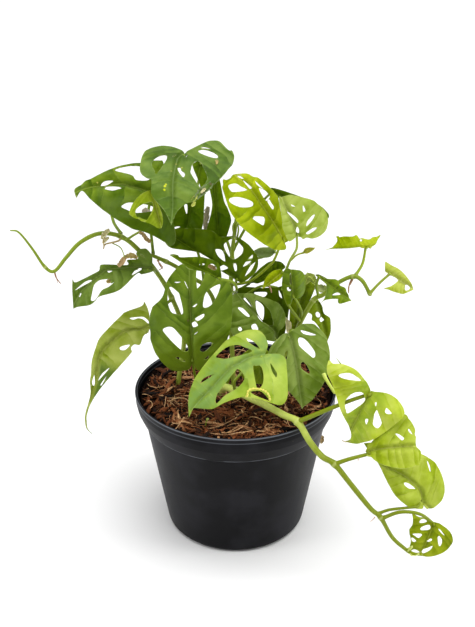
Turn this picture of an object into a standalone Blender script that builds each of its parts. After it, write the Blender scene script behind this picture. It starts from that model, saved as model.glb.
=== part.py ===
"""Potted Swiss-cheese vine: a nursery pot, its potting mix, climbing and trailing vines, and their leaves.

Lengths below are in millimetres and are turned into metres where a mesh is made.
The front of the plant is -Y, up is +Z, and the pot stands on Z = 0 about the origin.
"""

import math
import random

import bpy
from mathutils import Vector
from mathutils.geometry import delaunay_2d_cdt

MM = 0.001

# Pot
RIM_RADIUS = 85.0
POT_HEIGHT = 128.0
BASE_RADIUS = 61.0
BASE_ROUNDING = 6.0
BAND_DEPTH = 25.0
BAND_FOOT_RADIUS = 79.0
LEDGE_STEP = 1.8
WALL = 1.4
FLOOR = 2.0
LIP_THICKNESS = 3.0
POT_SIDES = 56

# Potting mix
SOIL_TOP = 118.0
SOIL_GAP = 0.35
SOIL_RINGS = 7
SOIL_SPOKES = 36
SOIL_ROUGHNESS = 1.3
HOLE_CLEARANCE = 0.35

# Leaves and vines
BLADE = 0.75
PETIOLE_RADIUS = 1.25
PETIOLE_SIDES = 6
VINE_SIDES = 8
JOINT_GAP = 0.35
ROOT_RADIUS = 0.7
SEED_SPACING = 11.0
FINE_EDGE = 8
LIGHT = Vector((0.0, -0.8, 0.6))

# The view in which the leaves' outlines are drawn: the place of the eye, how far it looks down, and
# the picture's focal length and middle in picture points, which count right and down from its corner
EYE = Vector((1.6, -647.0, 488.0))
EYE_TILT = math.radians(24.4)
FOCAL_LENGTH = 871.0
PICTURE_MIDDLE = (237.5, 313.5)
SIGHT_STEPS = 60


def sight(x, y):
    """The direction from the eye through a point of the picture."""
    ahead = Vector((0.0, math.cos(EYE_TILT), -math.sin(EYE_TILT)))
    upward = Vector((0.0, math.sin(EYE_TILT), math.cos(EYE_TILT)))
    right = Vector((1.0, 0.0, 0.0))
    return (
        ahead
        + right * ((x - PICTURE_MIDDLE[0]) / FOCAL_LENGTH)
        + upward * ((PICTURE_MIDDLE[1] - y) / FOCAL_LENGTH)
    )


def seen(x, y, depth):
    """The place that shows at a point of the picture and stands at this depth, to the millimetre."""
    ray = sight(x, y)
    place = EYE + ray * ((depth - EYE.y) / ray.y)
    return tuple(round(v) for v in place)


def catmull(points, steps, closed=False):
    """Points along a smooth curve through the given ones, the ends included."""
    points = [Vector(p) for p in points]
    count = len(points)
    spans = count if closed else count - 1
    out = []
    for i in range(spans):
        if closed:
            a, b, c, d = (points[(i + k) % count] for k in (-1, 0, 1, 2))
        else:
            b, c = points[i], points[i + 1]
            a = points[i - 1] if i else b * 2 - c
            d = points[i + 2] if i + 2 < count else c * 2 - b
        for k in range(steps):
            t = k / steps
            out.append(
                0.5
                * (
                    b * 2
                    + (c - a) * t
                    + (a * 2 - b * 5 + c * 4 - d) * t**2
                    + (b * 3 - a - c * 3 + d) * t**3
                )
            )
    if not closed:
        out.append(points[-1])
    return out


def material(name, colour, roughness, coat=0.0):
    made = bpy.data.materials.get(name)
    if made:
        return made
    made = bpy.data.materials.new(name)
    made.use_nodes = True
    shader = made.node_tree.nodes["Principled BSDF"]
    shader.inputs["Base Color"].default_value = (*colour, 1.0)
    shader.inputs["Roughness"].default_value = roughness
    shader.inputs["Coat Weight"].default_value = coat
    return made


def object_from(name, points, faces, surface, origin=Vector((0, 0, 0)), smooth=True):
    """An object whose points are given in the plant's millimetres, placed by its own origin."""
    mesh = bpy.data.meshes.new(name)
    mesh.from_pydata([(Vector(p) - origin) * MM for p in points], [], faces)
    mesh.validate()
    mesh.materials.append(surface)
    for polygon in mesh.polygons:
        polygon.use_smooth = smooth
    made = bpy.data.objects.new(name, mesh)
    made.location = origin * MM
    bpy.context.scene.collection.objects.link(made)
    return made


def combine(target, others, operation):
    """Joins or cuts the target with each of the others, which are used up."""
    group = bpy.data.collections.new(target.name + "_tools")
    bpy.context.scene.collection.children.link(group)
    for other in others:
        bpy.context.scene.collection.objects.unlink(other)
        group.objects.link(other)
    tool = target.modifiers.new(operation.lower(), "BOOLEAN")
    tool.operation = operation
    tool.operand_type = "COLLECTION"
    tool.collection = group
    tool.solver = "MANIFOLD"
    bpy.context.view_layer.update()
    graph = bpy.context.evaluated_depsgraph_get()
    result = bpy.data.meshes.new_from_object(target.evaluated_get(graph))
    target.modifiers.clear()
    target.data = result
    for other in list(group.objects):
        bpy.data.objects.remove(other)
    bpy.data.collections.remove(group)


def tube(path, radii, sides):
    """Points and faces of a closed round tube along the path."""
    path = [Vector(p) for p in path]
    count = len(path)
    ahead = (path[1] - path[0]).normalized()
    across = ahead.orthogonal().normalized()
    points = []
    for i, centre in enumerate(path):
        before = path[max(i - 1, 0)]
        after = path[min(i + 1, count - 1)]
        ahead = (after - before).normalized()
        across = (across - ahead * across.dot(ahead)).normalized()
        third = ahead.cross(across)
        for k in range(sides):
            turn = 2 * math.pi * k / sides
            points.append(
                centre + (across * math.cos(turn) + third * math.sin(turn)) * radii[i]
            )
    faces = []
    for i in range(count - 1):
        for k in range(sides):
            a = i * sides + k
            b = i * sides + (k + 1) % sides
            faces.append((a, b, b + sides, a + sides))
    faces.append(tuple(reversed(range(sides))))
    last = (count - 1) * sides
    faces.append(tuple(range(last, last + sides)))
    return points, faces


def lathe(profile, sides):
    """Points and faces of a closed ring profile turned about the Z axis; points at radius 0 are poles."""
    points = []
    rows = []
    for radius, height in profile:
        if radius < 1e-6:
            rows.append([len(points)] * sides)
            points.append(Vector((0, 0, height)))
            continue
        rows.append(list(range(len(points), len(points) + sides)))
        for k in range(sides):
            turn = 2 * math.pi * k / sides
            points.append(
                Vector((radius * math.cos(turn), radius * math.sin(turn), height))
            )
    faces = []
    for lower, upper in zip(rows, rows[1:]):
        for k in range(sides):
            n = (k + 1) % sides
            loop = []
            for corner in (lower[k], lower[n], upper[n], upper[k]):
                if corner not in loop:
                    loop.append(corner)
            if len(loop) > 2:
                faces.append(tuple(loop))
    return points, faces


def inside(point, polygon):
    x, y = point[0], point[1]
    hit = False
    for a, b in zip(polygon, polygon[1:] + polygon[:1]):
        if (a[1] > y) != (b[1] > y):
            if x < (b[0] - a[0]) * (y - a[1]) / (b[1] - a[1]) + a[0]:
                hit = not hit
    return hit


def clearance(point, polygon):
    """Distance from a point to the nearest edge of a polygon."""
    best = 1e9
    p = Vector((point[0], point[1]))
    for a, b in zip(polygon, polygon[1:] + polygon[:1]):
        a = Vector((a[0], a[1]))
        b = Vector((b[0], b[1]))
        along = b - a
        t = max(0.0, min(1.0, (p - a).dot(along) / max(along.length_squared, 1e-9)))
        best = min(best, (p - a - along * t).length)
    return best


class Leaf:
    """One blade with its petiole.

    base and tip are where the petiole meets the blade and the end of its midrib. edge_a and edge_b
    are the two halves of the outline from base to tip and holes the natural openings between the
    veins, each a list of its corners. They are drawn as the blade is seen, in points of the picture.
    A hidden blade's are guessed, as shares of its length: along the midrib first, then across it.
    arch lifts the middle of the blade, fold its two halves, cup lowers its margins, wave ripples
    them and hook turns the tip down.
    """

    def __init__(self, name, kind, base, tip, edge_a, edge_b, holes=(), roll=0.0,
                 arch=0.06, fold=0.12, cup=0.10, wave=0.02, hook=0.0, stalk=PETIOLE_RADIUS,
                 petiole=(), on=None, hidden=False):
        self.name = name
        self.kind = kind
        self.base = Vector(base)
        self.tip = Vector(tip)
        self.arch = arch
        self.fold = fold
        self.cup = cup
        self.wave = wave
        self.hook = hook
        self.stalk = stalk
        self.petiole = petiole
        self.on = on
        self.length = (self.tip - self.base).length
        self.along = (self.tip - self.base).normalized()
        facing = (LIGHT - self.along * LIGHT.dot(self.along)).normalized()
        across = facing.cross(self.along)
        turn = math.radians(roll)
        self.facing = facing * math.cos(turn) + across * math.sin(turn)
        self.across = across * math.cos(turn) - facing * math.sin(turn)
        if not hidden:
            edge_a, edge_b = self.on_blade(edge_a), self.on_blade(edge_b)
            holes = [self.on_blade(hole) for hole in holes]
        self.edge_a = edge_a
        self.edge_b = edge_b
        self.holes = list(holes)

    def on_blade(self, drawn):
        """Points of the picture as shares of the blade's length, where their sight lines meet the blade."""
        shares = []
        for x, y in drawn:
            ray = sight(x, y)
            lift = 0.0
            for _ in range(SIGHT_STEPS):
                level = self.base + self.facing * (lift * self.length)
                reach = (level - EYE).dot(self.facing) / ray.dot(self.facing)
                at = EYE + ray * reach - self.base
                s = at.dot(self.along) / self.length
                r = at.dot(self.across) / self.length
                lift = (lift + self.height(s, r)) / 2
            shares.append((round(s, 2), round(r, 2)))
        return shares

    def outline(self, steps):
        """The margin as a closed loop: a half with many points is used as it is, one with few is smoothed."""
        halves = []
        for edge in (self.edge_a, self.edge_b):
            ends = [(0.0, 0.0, 0.0)] + [(s, r, 0.0) for s, r in edge] + [(1.0, 0.0, 0.0)]
            halves.append(catmull(ends, 1 if len(edge) > FINE_EDGE else steps))
        loop = halves[0][:-1] + halves[1][::-1][:-1]
        return [(p[0], p[1]) for p in loop]

    def height(self, s, r):
        lift = self.arch * 4 * s * (1 - s)
        lift += self.fold * (math.hypot(r, 0.04) - 0.04)
        lift -= self.cup * r * r * 2
        lift += self.wave * math.sin(s * 11.0 + (0.0 if r > 0 else 2.0)) * min(1.0, (abs(r) * 3) ** 2)
        lift -= self.hook * max(0.0, s - 0.75) ** 2 * 16
        return lift

    def surface(self, s, r):
        """The blade's middle surface and its normal at one place."""
        step = 0.002
        centre = self.height(s, r)
        slope_s = (self.height(s + step, r) - centre) / step
        slope_r = (self.height(s, r + step) - centre) / step
        point = self.base + (self.along * s + self.across * r + self.facing * centre) * self.length
        normal = (self.facing - self.along * slope_s - self.across * slope_r).normalized()
        return point, normal

    def sheet(self, steps, spacing):
        """The flat blade as triangles in shares of its length."""
        outline = self.outline(steps)
        loops = [outline] + self.holes
        points = []
        edges = []
        for loop in loops:
            first = len(points)
            points += [Vector(p) for p in loop]
            edges += [(first + k, first + (k + 1) % len(loop)) for k in range(len(loop))]
        gap = spacing / self.length
        low_s = min(p[0] for p in outline)
        high_s = max(p[0] for p in outline)
        low_r = min(p[1] for p in outline)
        high_r = max(p[1] for p in outline)
        row = 0
        s = low_s + gap / 2
        while s < high_s:
            r = low_r + gap * (0.5 if row % 2 else 1.0)
            while r < high_r:
                seed = (s, r)
                if inside(seed, outline) and all(clearance(seed, loop) > gap * 0.42 for loop in loops):
                    if not any(inside(seed, loop) for loop in loops[1:]):
                        points.append(Vector(seed))
                r += gap
            s += gap * 0.87
            row += 1
        corners_out, _, faces, _, _, _ = delaunay_2d_cdt(points, edges, [], 0, 1e-6)
        kept = []
        for face in faces:
            middle = [sum(corners_out[i][k] for i in face) / 3 for k in (0, 1)]
            if inside(middle, outline) and not any(inside(middle, loop) for loop in loops[1:]):
                kept.append(tuple(face))
        return [tuple(p) for p in corners_out], kept

    def solid(self, steps=2, spacing=SEED_SPACING, thickness=BLADE):
        flat, faces = self.sheet(steps, spacing)
        used = sorted({i for face in faces for i in face})
        index = {i: k for k, i in enumerate(used)}
        upper = []
        lower = []
        for i in used:
            point, normal = self.surface(*flat[i])
            upper.append(point + normal * thickness / 2)
            lower.append(point - normal * thickness / 2)
        count = len(used)
        faces = [tuple(index[i] for i in face) for face in faces]
        a, b, c = (Vector(flat[used[i]]) for i in faces[0])
        if (b - a).cross(c - a) < 0:
            faces = [face[::-1] for face in faces]
        # The blade's own directions are a left-handed pair seen from the front, so faces turn over here.
        if self.along.cross(self.across).dot(self.facing) < 0:
            faces = [face[::-1] for face in faces]
        border = {}
        for face in faces:
            for i, j in zip(face, face[1:] + face[:1]):
                if (j, i) in border:
                    del border[(j, i)]
                else:
                    border[(i, j)] = True
        solid = list(faces)
        solid += [tuple(i + count for i in reversed(face)) for face in faces]
        for i, j in border:
            solid.append((j, i, i + count))
            solid.append((j, i + count, j + count))
        return upper + lower, solid


class Vine:
    """One stem: points along it, its radius at its foot and at its end, and the ends of its aerial roots."""

    def __init__(self, name, kind, path, foot, end, steps=1, roots=()):
        self.name = name
        self.kind = kind
        self.path = catmull(path, steps)
        self.radii = [
            foot + (end - foot) * (k / (len(self.path) - 1)) ** 1.5
            for k in range(len(self.path))
        ]
        self.roots = roots

    def distance(self, point):
        """How far a point is outside the stem's skin."""
        best = 1e9
        last = len(self.path) - 2
        for i in range(last + 1):
            a, b = self.path[i], self.path[i + 1]
            raw = (point - a).dot(b - a) / (b - a).length_squared
            t = max(0.0, min(1.0, raw))
            radius = self.radii[i] + (self.radii[i + 1] - self.radii[i]) * t
            if i == last and raw > 1.0:
                beyond = (raw - 1.0) * (b - a).length
                beside = max((point - a - (b - a) * raw).length - radius, 0.0)
                best = min(best, math.hypot(beyond, beside))
            else:
                best = min(best, (point - a - (b - a) * t).length - radius)
        return best


# Vines
VINES = [
    Vine("vine_left_climbing", "vine_olive",
         [(-51, 16, 106), (-50, 15, 120), (-47, 18, 140), (-44, 20, 160), (-46, 18, 180), (-53, 14, 203),
          (-62, 11, 223), (-77, 6, 247), (-90, 2, 260), (-106, -2, 264), (-121, -6, 258), (-132, -9, 247),
          (-142, -11, 236), (-149, -12, 240), (-157, -14, 256), (-165, -17, 270), (-171, -18, 272)],
         2.0, 1.0, roots=[((-142, -11, 236), (-138, -12, 226))]),
    Vine("vine_left_high", "vine_olive",
         [(-19, 12, 106), (-19, 14, 122), (-19, 22, 145), (-18, 24, 170), (-18, 20, 196), (-26, 18, 212),
          (-33, 16, 218), (-47, 12, 230), (-56, 10, 236), (-66, 8.5, 241.5)],
         2.0, 1.5, roots=[((-62, 9, 240), (-59, 7, 231))]),
    Vine("vine_centre", "vine_olive",
         [(-2, 14, 106), (-2, 15, 122), (-3, 20, 151), (-4, 18, 180), (-4, 16, 209), (-3, 19, 235),
          (-1, 21, 255), (1, 22, 270)],
         2.1, 1.5),
    Vine("vine_right_climbing", "vine_olive",
         [(24, 14, 106), (25, 14, 122), (40, 16, 147), (49, 12, 166), (54, 10, 182), (64, 8, 203),
          (72, 6, 209), (83, 2, 221), (94, 0, 227), (101, -4, 225), (107.5, -6, 214.5)],
         2.1, 1.5, roots=[((94, 0, 227), (91, -3, 214))]),
    Vine("vine_trailing", "vine_lime",
         [(-13, 3, 106), (-12.5, 2, 118), (-9, -4, 128), (1, -16, 131), (11, -28, 132), (25, -45, 134),
          (38, -60, 134.5), (48, -69, 134), (57, -80, 123), (66, -88, 115), (75, -94, 112), (87, -99, 98),
          (103, -103, 78), (111, -105, 71), (121, -108, 54), (134, -110, 42)],
         3.2, 1.4),
]

# Leaves
LEAVES = [
    Leaf("leaf_crown", "leaf_mid_green", (-38, -5, 329), (-46, -50, 287),
         [(183, 151), (174, 147.5), (168, 146.3), (162, 146), (155, 147), (148, 149), (144.5, 152),
          (142, 157), (140.5, 163), (140, 169), (142, 174), (147, 178), (152, 180.5), (151.5, 193),
          (157, 202), (165, 211)],
         [(191, 149.5), (203, 143), (209, 141.3), (215, 140.5), (220, 142), (229, 150.3), (232, 151),
          (234, 157), (232.5, 164), (230, 168), (219, 180), (196.5, 198), (197, 200.5), (186, 204),
          (177, 212)],
         [[(152.5, 161), (157, 157.5), (163, 155.2), (166.5, 155.5), (167, 158.5), (165.5, 162), (157, 174),
          (154, 170), (152.2, 165)],
          [(198.5, 151), (201, 149.5), (206, 150), (212, 152), (216.5, 154.5), (217.8, 157), (217, 158.5),
          (211, 157.5), (201, 153.5)],
          [(192, 166), (194, 162.5), (198, 161), (201, 163.5), (204, 168.5), (206.5, 174), (207, 179),
          (205, 184), (202, 187), (199.5, 187), (191.3, 173.5), (190.8, 169)],
          [(178, 168.5), (180, 168), (181.5, 171), (184, 173), (185, 176), (183, 177.5), (179, 172)],
          [(201, 148.2), (204, 147), (212.5, 149.2)],
          [(172, 156.4), (176, 154.8), (174, 157)],
          [(184, 157), (188, 155.3), (186, 157.6)]],
         petiole=[(-66, 9, 243), (-67, 10, 258), (-69, 18, 278), (-60, 22, 302), (-46, 14, 322)],
         on="vine_left_high"),
    Leaf("leaf_left_upper", "leaf_mid_green", (-54, 2, 299), (-120, -12, 299),
         [(166, 178), (163, 162.5), (160, 160.5), (153, 160.5), (147, 162.8), (131, 163.8), (108, 170),
          (92, 178.5), (86, 181), (82, 184.5), (74.5, 190)],
         [(176, 236), (170, 247), (167, 244), (147, 233), (133, 229), (127, 226), (109, 214.5), (92, 201),
          (82, 190.5)],
         [[(115, 170.8), (126, 166.5), (133, 165.9), (142, 166.5), (149, 172), (149, 180), (136, 179.7),
          (131, 174.8)],
          [(100.5, 184.5), (103, 182), (108, 180.8), (113, 181.2), (106, 184)],
          [(104.5, 188.5), (107, 187), (112, 186), (118, 186.5), (121, 188), (118, 189.5), (112, 190.3),
          (106, 189.5)],
          [(121, 207), (126, 203.5), (134, 202.5), (152, 206), (153, 211), (136, 212.5), (127, 210)]],
         hook=0.12,
         petiole=[(-90, 3, 262), (-97, 12, 270), (-98, 22, 281), (-83, 28, 291), (-64, 20, 300)],
         on="vine_left_climbing"),
    Leaf("leaf_young_curl", "leaf_lime", (-62, -22, 305), (-55, -30, 278),
         [(145, 192), (140, 195), (135, 200), (132, 205), (129, 213), (131, 216), (135, 218), (139, 219),
          (142, 221), (150, 223.5), (158, 228)],
         [(155, 199), (157, 202), (161, 211), (162.5, 217), (162.8, 224)],
         [[(152, 202.5), (146, 203), (141, 205), (137, 208), (135.5, 211), (136.5, 216.5), (139, 217),
          (143, 219), (147, 220), (149, 217), (152.5, 209)]],
         petiole=[(-52.5, 18, 313), (-50, 8, 312), (-53, -4, 310), (-58, -15, 308)], on="leaf_crown"),
    Leaf("leaf_behind_crown", "leaf_dark", seen(213, 166, 26), seen(219, 243, 8),
         [(207, 176), (211.5, 200), (211, 212), (206, 232), (208, 240)],
         [(219, 176), (224, 200), (228, 208), (231, 217), (230.5, 225), (225, 240)],
         petiole=[(-3, 20, 238), (-8, 30, 250), (-14, 34, 270), (-16, 34, 290), (-17, 31, 302)],
         on="vine_centre"),
    Leaf("leaf_behind_left", "leaf_dark", (-27, 35, 313), (-41, 8, 253),
         [(194, 163), (193, 167), (200, 187), (195, 192), (178, 201), (169, 208), (164, 216), (162, 224),
          (166, 233), (174, 240)],
         [(206, 165), (208, 175), (207, 184), (204.5, 194), (203.5, 215), (202, 228), (198, 239)],
         [[(184.6, 205.5), (187.4, 204.5), (187.6, 212.5), (186.3, 213.2)],
          [(172.5, 228.5), (175.5, 226.3), (179.8, 226.8), (176, 228.5)]],
         petiole=[(-26, 18, 212), (-28, 26, 225), (-34, 33, 250), (-33, 40, 275), (-29, 43, 300)],
         on="vine_left_high"),
    Leaf("leaf_web", "leaf_dark", (4, -4, 224), (-55, -8, 268),
         [(243, 282.5), (253.5, 274), (257.5, 266), (257.5, 257), (256, 253.5), (247, 243.5), (237, 237.5),
          (233, 236), (220, 236.5), (212, 231), (200, 228.5), (180, 228.5)],
         [(236, 280), (218, 268.5), (213, 261), (203, 254), (198, 252), (185, 250.5), (170, 247),
          (164, 238)],
         [[(215.5, 249), (221.5, 250.5), (224, 254), (225, 258), (224.5, 261.5), (219, 257), (216.5, 253)],
          [(223.8, 246), (226, 242.5), (229, 240), (232, 238.3), (234.5, 238.3), (242.5, 247), (243, 251),
          (241, 255), (234, 259), (229, 256.5)],
          [(233, 263.5), (235.5, 263), (236.8, 265.5), (236.8, 270), (235.3, 271.3), (233.8, 269.5)],
          [(219, 268), (221, 266), (224, 265.3), (228, 268.5), (222, 270.3)],
          [(255.5, 262), (252, 264), (249, 267.5), (245, 276), (251, 270.5)],
          [(243, 266.5), (245.5, 262), (252, 255.5), (253, 257), (251, 261), (247, 265)]],
         petiole=[(-4, 17, 214), (0, 8, 218)], on="vine_centre"),
    Leaf("leaf_under_web", "leaf_dark", seen(222.5, 279, -48), seen(170, 255, -52),
         [(221, 271), (217, 262), (203, 257.5), (196, 256.8), (181, 257), (178, 255), (174, 254)],
         [(219, 280), (209, 273.5), (203, 271.5), (190, 269), (186, 267), (178, 260.5)],
         [[(207.5, 267), (210, 264), (214.5, 264.5), (216.5, 268), (214.5, 270.3), (211, 269.3)],
          [(199, 264.5), (202, 263.4), (205, 264), (202, 265.3)]],
         petiole=[(-4, 17, 206), seen(235.5, 291.5, 4), seen(237, 289, -12), seen(236, 285, -28),
                  seen(231, 281, -42)],
         on="vine_centre"),
    Leaf("leaf_lime_upper", "leaf_lime", (40, -2, 256), (-9, -22, 309),
         [(285, 249), (276, 250), (271, 248.5), (260, 241.5), (245, 230), (237, 221), (230, 211),
          (224, 194), (222.5, 188)],
         [(288, 240), (283.5, 229), (279, 201), (275, 193.5), (260, 179), (253, 177), (246, 173.3),
          (234, 173.8), (230, 178), (227, 179.5), (223.5, 179.5)],
         [[(228, 186), (231, 184), (236, 184), (241, 186), (247, 190.5), (234, 191.5), (230, 190)],
          [(229.5, 198), (239, 197), (250, 200.5), (253, 203.5), (251, 206), (240, 206.5), (230.5, 203)],
          [(244.5, 180), (252.3, 187), (251, 189), (245.5, 183)],
          [(254.5, 181), (257.5, 182.5), (264, 189), (257, 184.5)],
          [(259, 188.5), (262, 188.5), (266, 191), (270, 196), (270, 197.5), (267, 200.5), (264.5, 199)],
          [(267, 202), (269, 199.5), (272, 203), (273.5, 207), (272, 209.5)],
          [(252, 217.5), (264, 217.3), (264, 224.5), (261, 224)],
          [(237.5, 176.5), (241, 176.8), (244, 179), (240, 178.3)]],
         petiole=[(-4, 16, 213), (12, 15, 217), seen(268, 267, 8), seen(274, 259, 4)], on="vine_centre"),
    Leaf("leaf_pale_right", "leaf_lime", (48, -20, 267), (34, -24, 300),
         [(296, 237), (292, 240), (288, 240.5), (283, 228), (282, 220), (279, 198)],
         [(301, 237), (303, 239), (307, 237.5), (311, 238.3), (316, 237.5), (321, 235), (325, 231),
          (327, 226), (328, 220), (325, 211), (317, 203), (312, 200), (296, 195.5), (290, 195)],
         [[(302.5, 207.5), (303.5, 205.5), (305.5, 210.5), (303.5, 211.5)],
          [(306, 226), (307, 221.5), (309.5, 218), (312.5, 215), (315, 214.5), (314, 218), (311, 222),
          (308, 225.5)],
          [(306, 233), (309, 230.5), (313, 228), (316.5, 227.5), (316, 229.5), (312, 232.5), (308, 234.3)],
          [(288, 213), (291, 214), (295, 217), (298.5, 221), (297, 222.5)],
          [(297, 227), (299, 229.5), (299, 233.5), (297, 232)],
          [(291, 204.5), (295, 206.5), (292, 206)]],
         petiole=[(53, 9, 184), (42, 0, 204), (38, -7, 225), (42, -12, 244), (47, -17, 257)],
         on="vine_right_climbing"),
    Leaf("leaf_behind_right", "leaf_dark", seen(270, 190, 18), seen(327.5, 219.5, 14),
         [(275, 188.5), (316, 203), (326.5, 212), (328.8, 216)],
         [(273, 194.5), (283, 200), (290, 199.5), (300, 201.5), (315, 207.5), (321, 212)],
         petiole=[(-2, 20, 242), (10, 27, 262), (22, 28, 281)], on="vine_centre"),
    Leaf("leaf_slim_back", "leaf_grey_green", (33, 20, 240), (15, 16, 243),
         [(0.35, -0.34), (0.79, -0.25)],
         [(0.30, 0.26), (0.71, 0.28)],
         roll=60,
         petiole=[(-3, 19, 232), (14, 28, 231), (28, 25, 236)], on="vine_centre", hidden=True),
    Leaf("leaf_left_middle", "leaf_grey_green", (-66, -4, 236), (-129, -14, 205),
         [(152.7, 256.5), (151.5, 253.5), (147, 249), (143.5, 248.3), (140, 249), (137.5, 251), (136, 254),
          (137.8, 259), (127, 260.5), (127.5, 265), (104, 264), (100, 266.5), (99.5, 269), (96, 272),
          (76, 282), (72.5, 280.2)],
         [(153, 271.5), (142, 274), (137, 274), (119, 290), (100, 296), (95.5, 301), (89, 305), (78, 307)],
         [[(91, 300), (91.5, 294), (94, 286), (97, 282), (101, 280), (108.5, 279), (110.5, 280),
          (111, 283.5), (115, 282), (109, 287), (102, 290.5), (95.5, 300)],
          [(76, 289), (85, 282), (91, 280), (77, 289.8)],
          [(132, 275), (134, 271), (138, 269.5), (139, 268), (141, 268.5), (140.5, 270)],
          [(140, 254.5), (141.5, 254), (145, 257.7), (144, 258.2)],
          [(78.5, 296.5), (80, 292.8), (81.2, 293.8), (79.7, 297)],
          [(107, 271), (109, 270.6), (112, 271.6), (109, 272.2)]],
         petiole=[(-64, 10, 227), (-65, 3, 232)], on="vine_left_climbing"),
    Leaf("leaf_left_drooping", "leaf_olive", (-69, -14, 190), (-116, -52, 112),
         [(149.5, 313), (144.5, 302.5), (141, 306), (125, 312), (121, 315), (101.5, 336), (95.5, 348),
          (91.5, 361), (91, 374), (89.5, 381), (90, 394), (85, 412), (84.7, 420), (86.5, 428)],
         [(149, 332), (146, 333), (143.5, 336), (139.5, 344.5), (134.5, 344), (131, 347), (131.5, 350),
          (129.5, 355), (103, 385), (91, 404), (87, 415), (87, 422), (88, 429)],
         [[(130, 317.7), (140, 316.8), (145, 318), (148.3, 321.3), (148.3, 324.3), (143, 319.6),
          (138, 318.6), (133.5, 319.6)],
          [(120, 347.5), (124, 345.5), (129.5, 345), (125, 349.5), (121, 349.3)],
          [(91.6, 382), (93.5, 375.5), (94.3, 383), (93, 385.5)],
          [(98.5, 380.5), (102, 374), (110, 368)],
          [(100, 384.3), (106.5, 376.5), (101.5, 384.3)]],
         hook=0.05,
         petiole=[(-53, 14, 201), (-61, 2, 197)], on="vine_left_climbing"),
    Leaf("leaf_front_left", "leaf_mid_green", (-35, -16, 156), (-35, -32, 249),
         [(189, 369), (181, 370.8), (174, 370.5), (168, 367), (157, 355), (150.5, 341), (149.8, 334),
          (149.7, 320), (151.5, 309), (153.5, 305), (162, 297), (167.5, 281), (175, 269), (182, 264.5)],
         [(196, 369.5), (200, 370), (204, 368), (212, 358.5), (225, 344), (228.5, 337), (230, 330),
          (233, 298), (228.5, 283), (226, 280), (217, 277), (210, 271), (202, 266.5)],
         [[(170, 287), (177, 291), (179.5, 296), (183.5, 313.8), (174, 314), (170, 311), (167.2, 300)],
          [(206.7, 291.5), (219.5, 284), (219, 290), (215, 301), (211, 305), (207, 307), (203.7, 307),
          (203.8, 302)],
          [(196.5, 271), (203.6, 272.5), (203.4, 281), (198, 287.3), (196.8, 286)],
          [(195.5, 319.5), (196.5, 317.5), (204, 314), (203.5, 316.5), (199, 321), (197, 321)],
          [(192.3, 324.5), (193.5, 322.4), (195.5, 321.8), (198, 325), (196.5, 326.8), (193.5, 327)],
          [(200, 350), (203.5, 343.8), (211, 342), (213, 344), (206, 351), (202.5, 352)],
          [(163, 329), (165, 327.3), (170, 327), (175, 329.5), (186, 342), (188.3, 350), (184, 351),
          (180, 349), (164.5, 333)],
          [(175.5, 357.5), (179, 357.5), (185, 361.5), (181, 361)],
          [(184.5, 282), (186, 282.8), (188, 289.5)],
          [(175, 281.8), (181, 281.5), (177, 283)],
          [(193, 307), (194.5, 304.5), (197, 303.5), (195.5, 306.5)],
          [(194, 334.7), (197.5, 331), (196, 334)],
          [(204.5, 359), (209, 355.5), (207, 358.5)]],
         arch=0.08, petiole=[(-31, 2, 108), (-31, 0, 120), (-34, -7, 141)], on="potting_mix"),
    Leaf("leaf_centre_grey", "leaf_grey_green", (34, -8, 173), (1, -6, 215),
         [(270, 341), (252, 337), (233, 335), (231, 318), (233, 297)],
         [(279, 331), (282, 328.5), (284.5, 325), (285.5, 318), (284.5, 312), (281, 306), (276, 302),
          (258, 295), (250, 293.6)],
         [[(244, 297.5), (246, 298), (250, 302.5), (252.5, 307), (250, 305.5), (244, 299.5)],
          [(238, 308), (240, 307.3), (244, 309), (250, 315.8), (247, 316.3), (240.5, 311.5)],
          [(255.5, 300), (261, 302), (266, 306), (270, 311), (272, 317), (273, 325), (270, 325.5),
          (266, 323.5), (262, 321), (258, 316), (255.5, 305)],
          [(251.5, 326), (253, 324), (256, 324), (258, 327.5), (258, 329.5), (254, 329.7), (252, 328.5)],
          [(238, 328), (240, 327), (242, 329.5), (241, 331), (239, 330.5)]],
         petiole=[(39, 16, 146), (37, 6, 162)], on="vine_right_climbing"),
    Leaf("leaf_front_lime", "leaf_lime", (23, -40, 178), (-36, -66, 136),
         [(267, 350), (267.5, 344), (266, 339), (263, 334), (259, 331), (254, 329.7), (242, 331.5),
          (228, 339.5), (223, 344), (199, 372), (192, 384), (188.3, 398)],
         [(277, 353.8), (281, 355), (284.5, 358), (286.5, 364), (288, 390), (287.5, 397), (285, 403),
          (280, 405.5), (274, 404.5), (247, 396.5), (227, 402), (215, 408), (209, 409), (197, 408),
          (193, 409)],
         [[(216, 357), (225, 348.3), (231, 345.5), (238, 344.8), (244, 346.5), (251.5, 352.2), (228, 358.5),
          (220, 358.8)],
          [(246.5, 338), (253, 341), (257, 344.5), (260, 349), (252.5, 345), (248.5, 341.5)],
          [(238, 369), (241.5, 371), (244, 376.5), (243, 381.5), (240, 386), (235, 390), (224, 396),
          (217.3, 403.3), (215.7, 401), (216.5, 396.5), (219, 391.5), (234, 372)],
          [(253.5, 367), (256, 365.5), (260, 365.5), (262, 369), (263.5, 376), (263, 383), (260.5, 388),
          (258, 389), (256.5, 386)],
          [(270.5, 363), (275.5, 370), (277, 374), (276, 377), (274, 375.5), (272, 371)],
          [(201, 382), (203, 379), (208, 376), (213, 374), (215, 374.5), (202, 382.7)],
          [(251, 392), (255, 391), (261, 391.7), (265, 394), (268, 398.5), (268.3, 400.8), (255, 395.6)]],
         petiole=[(-1, -14, 131), (0, -31, 150), (13, -36, 167)], on="vine_trailing"),
    Leaf("leaf_under_lime", "leaf_olive", (18, -12, 170), (24, -26, 143),
         [(0.0, -0.20), (0.17, -0.50), (0.44, -0.62), (0.77, -0.50), (0.92, -0.26)],
         [(0.11, 0.21), (0.39, 0.39), (0.74, 0.37), (0.96, 0.19)],
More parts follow.
